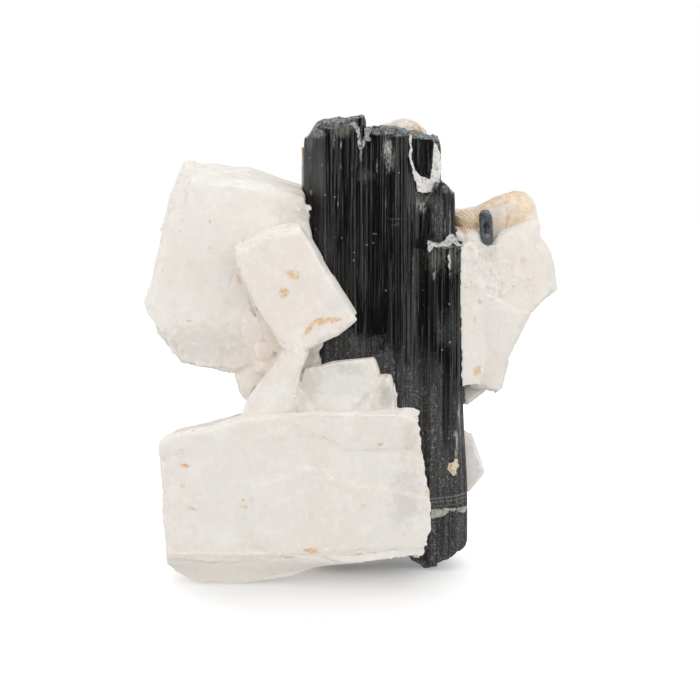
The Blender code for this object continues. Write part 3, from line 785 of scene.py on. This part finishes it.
class Net:
    """Builds a material's node tree in millimetres of the row frame."""

    def __init__(self, name):
        self.material = bpy.data.materials.new(name)
        self.material.use_nodes = True
        self.tree = self.material.node_tree
        self.shader = self.tree.nodes["Principled BSDF"]
        places = self.node("ShaderNodeTexCoord")
        self.place = self.vector("SCALE", places.outputs["Object"], scale=1.0 / MM)
        self.x, self.y, self.z = (self.part(self.place, axis) for axis in range(3))
        self.facing = places.outputs["Normal"]

    def node(self, kind, **settings):
        made = self.tree.nodes.new(kind)
        for key, value in settings.items():
            setattr(made, key, value)
        return made

    def feed(self, socket, value):
        """Links a socket or sets its value. A colour is given as red, green and blue."""
        if isinstance(value, bpy.types.NodeSocket):
            self.tree.links.new(value, socket)
        elif value is not None:
            socket.default_value = (*value, 1.0) if socket.type == "RGBA" else value

    def math(self, operation, a, b=None, c=None, clamp=False):
        made = self.node("ShaderNodeMath", operation=operation, use_clamp=clamp)
        for socket, value in zip(made.inputs, (a, b, c)):
            self.feed(socket, value)
        return made.outputs[0]

    def times(self, first, *others):
        for other in others:
            first = self.math("MULTIPLY", first, other)
        return first

    def most(self, masks):
        """The greatest of some masks, each made just before it is used."""
        last = None
        for mask in masks:
            last = mask if last is None else self.math("MAXIMUM", last, mask)
        return last

    def spots(self, node, places, depth, fray, edge):
        """The union of spots given as place in the photograph, half width and half height, (turn,) strength."""
        return self.most(
            self.times(self.spot(on_surface(px, py, node), (wide, depth, high), fray, edge, sum(rest[:-1])), rest[-1])
            for px, py, wide, high, *rest in places)

    def vector(self, operation, a, b=None, scale=None):
        made = self.node("ShaderNodeVectorMath", operation=operation)
        self.feed(made.inputs[0], a)
        self.feed(made.inputs[1], b)
        if scale is not None:
            made.inputs["Scale"].default_value = scale
        return made.outputs["Value"] if operation in ("LENGTH", "DISTANCE", "DOT_PRODUCT") else made.outputs[0]

    def part(self, vector, axis):
        made = self.node("ShaderNodeSeparateXYZ")
        self.feed(made.inputs[0], vector)
        return made.outputs[axis]

    def noise(self, scale, detail=3.0, roughness=0.55, vector=None, distortion=0.0):
        made = self.node("ShaderNodeTexNoise")
        self.feed(made.inputs["Vector"], vector or self.place)
        made.inputs["Scale"].default_value = scale
        made.inputs["Detail"].default_value = detail
        made.inputs["Roughness"].default_value = roughness
        made.inputs["Distortion"].default_value = distortion
        return made.outputs[0]

    def voronoi(self, scale, vector=None, feature="F1", output="Distance"):
        made = self.node("ShaderNodeTexVoronoi", feature=feature)
        self.feed(made.inputs["Vector"], vector or self.place)
        made.inputs["Scale"].default_value = scale
        return made.outputs[output]

    def remap(self, value, low, high, to_low=0.0, to_high=1.0):
        made = self.node("ShaderNodeMapRange", interpolation_type="SMOOTHSTEP")
        for socket, number in zip(made.inputs[:5], (value, low, high, to_low, to_high)):
            self.feed(socket, number)
        return made.outputs[0]

    def mix(self, share, a, b):
        made = self.node("ShaderNodeMix", data_type="RGBA")
        self.feed(made.inputs[0], share)
        self.feed(made.inputs[6], a)
        self.feed(made.inputs[7], b)
        return made.outputs[2]

    def stretched(self, factors, turn=0.0):
        """The place, turned about the line of sight and then scaled by its own factor along each axis."""
        made = self.node("ShaderNodeMapping", vector_type="TEXTURE")
        self.feed(made.inputs["Vector"], self.place)
        made.inputs["Rotation"].default_value = (0.0, math.radians(turn), 0.0)
        made.inputs["Scale"].default_value = tuple(1.0 / f for f in factors)
        return made.outputs[0]

    def spot(self, centre, size, fray, edge=0.35, turn=0.0):
        """A mask about a point. Its size is half its width, depth and height, and the noise fray wears its edge."""
        c, s = math.cos(math.radians(turn)), math.sin(math.radians(turn))
        wide, depth, high = size
        middle = centre / MM
        total = None
        for a, b, k in ((c, -s, wide), (s, c, high)):
            part = self.math("MULTIPLY_ADD", self.z, b / k, -(a * middle.x + b * middle.z) / k)
            part = self.math("MULTIPLY_ADD", self.x, a / k, part)
            total = self.math("MULTIPLY_ADD", part, part, total or 0.0)
        part = self.math("MULTIPLY_ADD", self.y, 1.0 / depth, -middle.y / depth)
        reach = self.math("SQRT", self.math("MULTIPLY_ADD", part, part, total))
        return self.remap(self.math("ADD", reach, fray), 1.0, 1.0 - edge)

    def frayed(self, scale, amount, vector=None):
        """Noise about zero that wears the edge of a spot."""
        noise = self.noise(scale, 5.0, 0.7, vector)
        return self.math("MULTIPLY_ADD", noise, amount * 2.0, -amount)

    def bump(self, height, distance, strength=1.0, normal=None):
        made = self.node("ShaderNodeBump")
        made.inputs["Strength"].default_value = strength
        made.inputs["Distance"].default_value = distance * MM
        self.feed(made.inputs["Height"], height)
        self.feed(made.inputs["Normal"], normal)
        return made.outputs["Normal"]

    def finish(self, colour=None, roughness=None, normal=None, **uniform):
        self.feed(self.shader.inputs["Base Color"], colour)
        self.feed(self.shader.inputs["Roughness"], roughness)
        self.feed(self.shader.inputs["Normal"], normal)
        for name, value in uniform.items():
            self.feed(self.shader.inputs[name.replace("_", " ")], value)
        return self.material


def grey(value):
    return (value, value, value)


# Stains on the white crystals: place in the photograph, half width and half height in millimetres, turn, strength
STAINS = [
    (293, 275, 1.5, 0.9, 25, 0.9), (284, 293, 1.0, 1.1, 0, 0.9), (310, 328, 2.2, 0.6, -52, 0.9),
    (320, 321, 1.5, 0.8, -10, 0.9), (333, 320, 2.0, 0.6, 0, 0.85), (185, 466, 1.1, 0.45, 12, 1.0),
    (182, 487, 0.6, 0.5, 0, 0.8), (192, 509, 0.9, 0.4, 15, 0.7), (243, 500, 0.4, 0.4, 0, 0.7),
    (244, 507, 0.7, 0.35, 10, 0.75), (380, 445, 0.8, 0.3, -8, 0.9), (363, 507, 0.5, 0.5, 0, 0.5),
    (312, 552, 1.6, 0.8, 5, 1.0), (290, 557, 1.4, 0.3, -15, 0.8), (359, 554, 0.9, 0.35, -10, 0.8),
    (375, 553, 0.4, 0.25, 0, 0.7), (476, 370, 1.3, 1.15, 0, 0.9), (474, 320, 0.6, 1.0, 0, 0.4),
    (488, 335, 0.5, 0.5, 0, 0.35), (210, 222, 0.3, 0.4, 0, 0.7), (210, 248, 0.35, 0.35, 0, 0.5),
    (189, 321, 0.8, 0.2, 12, 0.7), (182, 350, 0.3, 0.7, 0, 0.7), (243, 241, 0.2, 0.4, 0, 0.6),
    (275, 341, 0.5, 1.0, -30, 0.7), (239, 279, 0.35, 1.2, -20, 0.6), (281, 350, 0.5, 0.5, 0, 0.8),
    (180, 450, 0.5, 0.3, 0, 0.5), (523, 261, 0.9, 0.7, 0, 0.3), (424, 125, 0.9, 1.1, -45, 0.8),
    (428, 134, 0.5, 0.8, 0, 0.8), (302, 150, 0.5, 2.0, 0, 0.7), (387, 376, 0.35, 0.35, 0, 0.8),
    (427, 493, 0.4, 0.7, 0, 0.7), (251, 305, 0.3, 2.4, -25, 0.45),
]

# Greyer, glassier and whiter places on them: place, half sizes in millimetres, strength, turn, colour. A few are
# painted shade or painted light, not the crystals' own tone, each marked where it stands.
GREYER, GLASSY, PINKISH = (0.54, 0.505, 0.465), (0.50, 0.50, 0.49), (0.60, 0.54, 0.51)
NEUTRAL, WHITER = (0.64, 0.65, 0.645), (0.88, 0.875, 0.86)
SHADES = [
    (386, 395, (2.2, 3.0, 3.2), 0.6, 0.0, GLASSY), (352, 369, (4.4, 3.0, 1.5), 0.5, 0.0, GLASSY),
    # Painted shadow: the first, narrow dark streak lies under the broken plate's lower edge
    (363, 400, (0.9, 3.0, 2.8), 0.5, 38.0, GREYER), (405, 500, (4.0, 3.0, 8.5), 0.42, 0.0, GREYER),
    (410, 440, (1.6, 3.0, 4.0), 0.3, 0.0, GREYER), (490, 254, (2.0, 4.0, 1.6), 0.35, 0.0, GREYER),
    # Painted shade: the upper left block's lower part is made darker as if lit from above, and the chip behind the
    # blade, grey-brown of its own, is greyer still for the shadow it lies in
    (201, 345, (11.0, 8.0, 5.0), 0.42, 0.0, GREYER), (311, 354, (1.9, 4.0, 1.6), 0.5, 0.0, GREYER),
    (348, 385, (7.5, 4.0, 4.6), 0.4, 0.0, NEUTRAL), (292, 210, (4.0, 6.0, 6.0), 0.3, 0.0, GREYER),
    (340, 296, (2.4, 4.0, 5.0), 0.25, 30.0, NEUTRAL),
    # Painted light: the small crystal low at the right lies in the prism's shadow and is made whiter
    (474, 460, (3.0, 6.0, 6.0), 0.6, 0.0, WHITER),
    (308, 386, (3.0, 4.0, 4.4), 0.5, 0.0, PINKISH), (305, 215, (1.2, 3.0, 1.8), 0.35, 0.0, GLASSY),
    (228, 538, (3.4, 3.0, 2.6), 0.35, 0.0, WHITER), (272, 394, (3.0, 4.0, 4.6), 0.5, 30.0, WHITER),
    (350, 403, (4.6, 4.0, 2.0), 0.4, 0.0, WHITER), (488, 282, (4.5, 4.0, 3.0), 0.35, 0.0, WHITER),
]


def quartz_shader():
    net = Net("quartz")
    cloud = net.noise(0.06, 4.0, 0.6)
    mottle = net.noise(0.5, 5.0, 0.65)
    veil = net.noise(0.28, 5.0, 0.62, distortion=0.6)
    colour = net.mix(net.remap(cloud, 0.4, 0.6), (0.81, 0.748, 0.685), (0.81, 0.772, 0.727))
    colour = net.mix(net.remap(veil, 0.5, 0.72, 0.0, 0.6), colour, (0.87, 0.845, 0.81))
    colour = net.mix(net.remap(mottle, 0.56, 0.8, 0.0, 0.5), colour, (0.78, 0.67, 0.55))
    glassy = net.remap(net.noise(0.16, 4.0, 0.65), 0.56, 0.72, 0.0, 0.4)
    colour = net.mix(glassy, colour, (0.68, 0.665, 0.64))
    fray = net.frayed(1.7, 1.1)
    for px, py, size, share, turn, tone in SHADES:
        mask = net.spot(on_surface(px, py), size, net.frayed(0.9, 0.9), 0.7, turn)
        colour = net.mix(net.times(mask, share), colour, tone)
    warm = net.spot(on_surface(262, 352), (5.5, 12.0, 8.5), net.frayed(0.3, 0.5), edge=0.6)
    colour = net.mix(net.times(warm, 0.5), colour, (0.74, 0.65, 0.56))
    stain = net.spots("quartz_cluster", STAINS, 2.5, fray, 0.5)
    rust = net.mix(net.remap(net.noise(3.0, 4.0, 0.7), 0.42, 0.62), (0.84, 0.60, 0.37), (0.62, 0.36, 0.17))
    colour = net.mix(stain, colour, rust)
    top = net.spot(on_surface(509, 206), (7.9, 14.0, 3.9), net.frayed(0.5, 0.45), 0.25, -20.0)
    core = net.spot(on_surface(500, 212), (3.6, 14.0, 1.5), net.frayed(0.8, 0.5), 0.6, -24.0)
    tan = net.mix(net.remap(net.noise(0.9, 5.0, 0.7), 0.4, 0.62), (0.86, 0.735, 0.565), (0.78, 0.57, 0.36))
    rings = net.math("PINGPONG", net.math("MULTIPLY", net.noise(0.32, 2.0, 0.5), 9.0), 0.5)
    tan = net.mix(net.remap(rings, 0.08, 0.0, 0.0, 0.45), tan, (0.66, 0.42, 0.22))
    colour = net.mix(net.times(top, net.math("MULTIPLY_ADD", core, -0.7, 0.9)), colour, tan)
    middle = on_surface(*RIDGE_MIDDLE) / MM
    away = net.vector("MULTIPLY", net.vector("SUBTRACT", net.place, tuple(middle)), (1.0, 0.0, 1.0))
    reach = net.vector("LENGTH", away)
    stripes = net.math("MULTIPLY_ADD", reach, RIDGE_LINES, net.math("MULTIPLY", net.frayed(0.7, 1.0), 2.5))
    stripes = net.math("SINE", stripes)
    ridge = net.spot(on_surface(467, 219), (2.9, 6.0, 3.0), net.frayed(0.8, 0.3), 0.3, 0.0)
    tone = net.mix(net.remap(stripes, -0.9, 0.5), (0.62, 0.43, 0.25), (0.80, 0.63, 0.43))
    colour = net.mix(net.times(ridge, 0.9), colour, tone)
    grain = net.noise(2.2, 5.0, 0.65)
    hatch = net.noise(1.0, 3.0, 0.6, net.stretched((2.6, 1.5, 0.35), -8.0))
    colour = net.mix(net.remap(hatch, 0.44, 0.62, 0.0, 0.11), colour, (0.70, 0.62, 0.53))
    colour = net.mix(net.remap(net.noise(0.95, 6.0, 0.75), 0.5, 0.66, 0.0, 0.45), colour, (0.875, 0.86, 0.83))
    ledges = net.noise(1.0, 4.0, 0.6, net.stretched((0.4, 0.8, 1.8), -6.0))
    height = net.math("ADD", net.math("MULTIPLY_ADD", hatch, 0.4, grain), net.math("MULTIPLY", ledges, 0.35))
    normal = net.bump(height, 0.08, 0.4)
    rough = net.remap(net.noise(0.8, 3.0, 0.6), 0.3, 0.7, 0.30, 0.55)
    return net.finish(colour, rough, normal, Subsurface_Weight=0.3, Subsurface_Radius=(1.0, 0.85, 0.7),
                      Subsurface_Scale=1.1 * MM, IOR=1.54)


def crust_shader(name, pale, dark):
    net = Net(name)
    colour = net.mix(net.remap(net.noise(2.2, 5.0, 0.75), 0.36, 0.56), dark, pale)
    colour = net.mix(net.remap(net.noise(1.6, 5.0, 0.8), 0.56, 0.62, 0.0, 0.7), colour, grey(0.06))
    normal = net.bump(net.noise(3.5, 5.0, 0.7), 0.12, 0.8)
    return net.finish(colour, net.remap(net.noise(2.0), 0.3, 0.7, 0.45, 0.7), normal, IOR=1.54,
                      Subsurface_Weight=0.1, Subsurface_Radius=(1.0, 0.9, 0.8), Subsurface_Scale=0.4 * MM)


# Marks on the black prism: place in the photograph, half width and half height in millimetres, strength
PALE_STREAKS = [
    (334, 138, 0.22, 2.4, 0.55), (341, 145, 0.16, 1.0, 0.6), (341, 166, 0.12, 1.0, 0.6), (338, 201, 0.12, 1.5, 0.55),
    (388, 149, 1.1, 3.0, 0.9), (389, 160, 0.8, 2.6, 0.5), (377, 166, 0.22, 1.4, 0.6), (394, 158, 0.25, 3.0, 0.4),
    (361, 152, 0.3, 2.2, 0.55), (450, 222, 0.16, 3.4, 0.7), (450, 262, 0.2, 3.6, 0.8), (445, 228, 0.14, 2.0, 0.5),
    (459, 413, 0.34, 3.6, 0.9), (457, 443, 0.32, 2.8, 0.85), (461, 430, 0.16, 3.4, 0.6), (417, 205, 0.2, 2.0, 0.5),
    (455, 434, 0.34, 0.9, 1.0), (456, 452, 0.26, 1.6, 0.8),
    (422, 207, 0.9, 1.7, 0.7), (413, 270, 0.12, 4.6, 0.3), (428, 250, 0.14, 2.0, 0.5), (434, 276, 0.3, 1.0, 0.7),
    (322, 165, 0.1, 0.5, 0.5), (325, 195, 0.18, 0.2, 0.9), (311, 192, 0.3, 0.6, 0.6), (310, 237, 0.35, 0.35, 0.4),
    (449, 304, 0.2, 0.3, 0.8), (450, 342, 0.2, 0.25, 0.6), (375, 234, 0.5, 0.2, 0.5), (342, 238, 0.15, 0.2, 0.7),
    (348, 353, 0.25, 0.2, 1.0), (409, 210, 0.1, 1.4, 0.5), (397, 219, 1.8, 0.12, 0.2), (396, 225, 1.0, 0.08, 0.2),
    (410, 150, 0.12, 2.6, 0.4), (466, 330, 0.1, 12.0, 0.25), (386, 200, 0.1, 2.0, 0.35), (352, 180, 0.08, 5.0, 0.3),
]
WORN_PLACES = [
    (316, 133, 2.2, 1.1, 0.8), (330, 126, 2.6, 0.7, 0.6), (350, 121, 1.6, 1.6, 0.7), (383, 131, 3.4, 0.9, 0.9),
    (400, 134, 1.6, 0.7, 0.8), (425, 138, 1.8, 0.35, 0.7), (446, 188, 0.8, 1.2, 0.7), (436, 184, 0.6, 1.0, 0.7),
]
OLIVE_GLOWS = [
    (341, 130, 2.6, 1.7, 0.75), (436, 258, 2.4, 3.4, 0.75), (454, 258, 1.2, 3.6, 0.6), (423, 200, 2.3, 2.0, 0.6),
    (412, 190, 0.5, 7.0, 0.4), (455, 210, 0.4, 3.6, 0.4), (309, 141, 1.2, 2.0, 0.4), (466, 300, 0.3, 14.0, 0.4),
]
CLEAR_PLACES = [(446, 402, 0.95, 12.0, 0.9), (457, 392, 2.0, 16.0, 0.5)]
GREY_ZONES = [
    (438, 214, 1.5, 5.8, 0.9), (306, 190, 0.9, 9.0, 0.5), (309, 220, 1.2, 4.0, 0.5), (426, 385, 5.0, 8.0, 0.6),
    (436, 470, 5.6, 9.0, 0.35), (449, 330, 2.6, 5.0, 0.4), (320, 250, 2.6, 4.6, 0.4), (365, 176, 2.0, 1.8, 0.5),
]


def tourmaline_shader(name="tourmaline", worn=0.0):
    net = Net(name)
    lines = net.noise(1.0, 4.0, 0.7, net.stretched((3.4, 3.4, 0.03)))
    hair = net.noise(1.0, 3.0, 0.75, net.stretched((8.0, 8.0, 0.05)))
    colour = net.mix(net.remap(lines, 0.5, 0.72), grey(0.0035), (0.015, 0.015, 0.014))
    # Pale grey hairlines along the prism: partly the striations' own paler tone and partly painted highlights, the
    # glints of the striations put into the colour
    colour = net.mix(net.remap(hair, 0.56, 0.70, 0.0, 0.7), colour, grey(0.055))
    grain = net.frayed(0.22, 9.0)
    edge = net.math("MULTIPLY_ADD", net.x, 0.55, net.math("ADD", net.z, grain))
    dusty = net.remap(edge, 46.0, 40.0)
    fray = net.frayed(0.5, 0.7)
    zones = net.spots("tourmaline_prism", GREY_ZONES, 5.0, fray, 0.7)
    upward = net.remap(net.part(net.facing, 2), 0.25, 0.6)
    dusty = net.most([dusty, zones, upward] + ([net.remap(net.noise(0.9, 4.0), 0.4, 0.6, 0.0, worn)] if worn else []))
    clear = net.spots("tourmaline_prism", CLEAR_PLACES, 4.0, net.frayed(0.6, 0.3), 0.5)
    dusty = net.math("MULTIPLY_ADD", net.times(dusty, clear), -1.0, dusty)
    speck = net.remap(net.noise(4.2, 3.0, 0.7), 0.50, 0.62)
    pores = net.remap(net.noise(1.5, 4.0, 0.75), 0.40, 0.62, 0.35, 1.0)
    dust = net.mix(net.times(speck, pores), grey(0.043), grey(0.33))
    streaky = net.remap(net.noise(1.0, 3.0, 0.6, net.stretched((2.4, 2.4, 0.06))), 0.35, 0.6, 0.35, 1.0)
    colour = net.mix(net.times(dusty, streaky), colour, dust)
    if worn:
        hollow = net.spot(on_surface(485.6, 227, "small_tourmaline"), (0.65, 3.0, 1.9), net.frayed(1.2, 0.5), 0.3)
        colour = net.mix(net.math("MULTIPLY_ADD", hollow, -0.7, 0.7), colour, (0.105, 0.125, 0.145))
    fray_worn = net.frayed(1.2, 0.6)
    worn_places = net.spots("tourmaline_prism", WORN_PLACES, 4.0, fray_worn, 0.5)
    crumbs = net.remap(net.noise(3.2, 4.0, 0.8), 0.42, 0.60)
    worn_top = net.mix(crumbs, (0.026, 0.029, 0.029), (0.36, 0.385, 0.385))
    worn_all = net.most([upward, worn_places])
    colour = net.mix(worn_all, colour, worn_top)
    dusty = net.most([dusty, worn_all])
    streak_fray = net.frayed(1.0, 1.3, net.stretched((3.4, 3.4, 1.1)))
    olive = net.spots("tourmaline_prism", OLIVE_GLOWS, 5.0, streak_fray, 0.8)
    olive = net.times(olive, net.remap(lines, 0.38, 0.62, 0.25, 1.0))
    colour = net.mix(olive, colour, (0.19, 0.185, 0.145))
    pale = net.spots("tourmaline_prism", PALE_STREAKS, 2.0, streak_fray, 0.8)
    breaks = net.noise(1.0, 4.0, 0.8, net.stretched((5.0, 5.0, 0.9)))
    pale = net.times(pale, net.remap(breaks, 0.42, 0.56, 0.12, 1.0))
    flecks = net.times(net.remap(net.part(net.voronoi(0.9, output="Color"), 0), 0.86, 0.9),
                       net.remap(net.voronoi(0.9), 0.17, 0.08))
    pale = net.most([pale, net.times(flecks, 0.45)])
    colour = net.mix(pale, colour, (0.50, 0.51, 0.47))
    low_lines = net.math("MULTIPLY_ADD", net.x, -0.12, net.z)
    for py, width, share in ((497, 0.2, 0.9), (501, 0.16, 0.9), (505, 0.14, 0.6), (520, 0.1, 0.3)):
        place = on_surface(448, py, "tourmaline_prism") / MM
        band = net.math("SUBTRACT", low_lines, place.z - 0.12 * place.x)
        band = net.remap(net.math("ABSOLUTE", band), width, 0.0)
        band = net.times(band, share, net.remap(net.noise(0.8), 0.3, 0.5))
        colour = net.mix(band, colour, (0.23, 0.225, 0.19))
    height = net.math("MULTIPLY_ADD", hair, 0.5, lines)
    normal = net.bump(net.times(height, net.math("SUBTRACT", 1.0, net.times(dusty, 0.6))), 0.07, 0.7)
    normal = net.bump(net.times(net.noise(5.0, 3.0, 0.7), dusty), 0.12, 0.9, normal)
    rough = net.math("MULTIPLY_ADD", dusty, 0.38, net.remap(lines, 0.3, 0.7, 0.14, 0.26))
    return net.finish(colour, rough, normal, IOR=1.62)


def floor_shader():
    """Pale paper that glows, a little brighter away from the specimen so that it meets the background unseen: painted
    light. Its glow is least just before the lower block, so that a shadow shows there and fades away from it.
    """
    net = Net("floor")
    away = net.vector("MULTIPLY", net.vector("SUBTRACT", net.place, (-6.0, -24.0, 0.0)), (1.0, 1.0, 0.0))
    reach = net.vector("LENGTH", away)
    # Painted light: the glow rises from 0.02 within 14 mm of a point before the lower block to 0.5 beyond 44 mm
    net.feed(net.shader.inputs["Emission Strength"], net.remap(reach, 14.0, 44.0, 0.02, 0.5))
    return net.finish(grey(0.90), 0.9, Specular_IOR_Level=0.0, Emission_Color=grey(1.0))


# Stage and lights


def make_floor():
    bm = bmesh.new()
    bmesh.ops.create_grid(bm, x_segments=2, y_segments=2, size=FLOOR_HALF)
    mesh = bpy.data.meshes.new("floor")
    bm.to_mesh(mesh)
    bm.free()
    floor = piece_from("floor", mesh)
    floor.data.materials.append(floor_shader())
    floor.visible_glossy = False
    floor.visible_diffuse = False


def softbox(name, azimuth, elevation, distance, size, power, mirrored):
    """A square soft light, azimuth 0 being the camera's side and 90 the right, aimed at the specimen's middle."""
    a, e = math.radians(azimuth), math.radians(elevation)
    away = Vector((math.sin(a) * math.cos(e), -math.cos(a) * math.cos(e), math.sin(e)))
    light = bpy.data.lights.new(name, "AREA")
    light.shape = "RECTANGLE"
    light.size, light.size_y = size[0] * MM, size[1] * MM
    light.energy = power
    lamp = bpy.data.objects.new(name, light)
    lamp.location = world(*AIM) + away * distance * MM
    lamp.rotation_mode = "QUATERNION"
    lamp.rotation_quaternion = (-away).to_track_quat("-Z", "Y")
    lamp.visible_camera = False
    lamp.visible_glossy = mirrored
    bpy.context.scene.collection.objects.link(lamp)


def make_world():
    """An even pale room. White behind the specimen, and dark in its reflections of the camera's side."""
    shade = bpy.data.worlds.new("studio")
    bpy.context.scene.world = shade
    shade.use_nodes = True
    nodes, links = shade.node_tree.nodes, shade.node_tree.links

    def ground(strength):
        made = nodes.new("ShaderNodeBackground")
        made.inputs["Color"].default_value = (1.0,) * 4
        made.inputs["Strength"].default_value = strength
        return made

    room, seen, mirrored = ground(ROOM_LIGHT), ground(1.0), ground(1.0)
    place = nodes.new("ShaderNodeTexCoord")
    split = nodes.new("ShaderNodeSeparateXYZ")
    links.new(place.outputs["Generated"], split.inputs[0])
    # The direction along which each light changes, from where to where, and its strength at either end
    changes = (
        ("Y", (-0.55, 0.5, 0.02, 0.7), mirrored),
        ("Z", (-0.4, 0.1, 0.85 * ROOM_LIGHT, ROOM_LIGHT), room),
    )
    for axis, limits, light in changes:
        shift = nodes.new("ShaderNodeMapRange")
        for socket, number in zip(shift.inputs[1:5], limits):
            socket.default_value = number
        links.new(split.outputs[axis], shift.inputs[0])
        links.new(shift.outputs[0], light.inputs["Strength"])
    path = nodes.new("ShaderNodeLightPath")
    last = room.outputs[0]
    for ray, light in (("Is Glossy Ray", mirrored), ("Is Camera Ray", seen)):
        pick = nodes.new("ShaderNodeMixShader")
        links.new(path.outputs[ray], pick.inputs[0])
        links.new(last, pick.inputs[1])
        links.new(light.outputs[0], pick.inputs[2])
        last = pick.outputs[0]
    links.new(last, nodes["World Output"].inputs["Surface"])


# Name, azimuth and elevation in degrees, distance and size in millimetres, power, and whether reflections show it
LIGHTS = [
    ("left", -58.0, 5.0, 600.0, (300.0, 560.0), 0.9, True),
    ("right", 58.0, 5.0, 600.0, (300.0, 560.0), 0.72, True),
    ("above", 150.0, 74.0, 700.0, (600.0, 500.0), 0.8, True),
    ("front", 5.0, 22.0, 600.0, (400.0, 300.0), 0.45, False),
]


make_camera()
make_floor()
make_world()
for light in LIGHTS:
    softbox(*light)
bpy.context.scene.view_settings.view_transform = "Standard"
make_quartz(quartz_shader())
make_prism(tourmaline_shader())
make_small_prism(tourmaline_shader("worn_tourmaline", 0.9))
make_crusts({
    "crust": crust_shader("white_crust", (0.82, 0.80, 0.77), (0.55, 0.53, 0.49)),
    "pale_band": crust_shader("green_crust", (0.50, 0.495, 0.425), (0.25, 0.245, 0.195)),
    "crumb": crust_shader("beige_crust", (0.80, 0.68, 0.54), (0.58, 0.45, 0.33)),
    "ledge_crust": crust_shader("grey_crust", (0.62, 0.64, 0.62), (0.16, 0.17, 0.16)),
    "notch_streak": crust_shader("dim_crust", (0.50, 0.53, 0.54), (0.07, 0.075, 0.08)),
    "notch_filling": crust_shader("glassy_crust", (0.70, 0.69, 0.66), (0.14, 0.14, 0.14)),
})
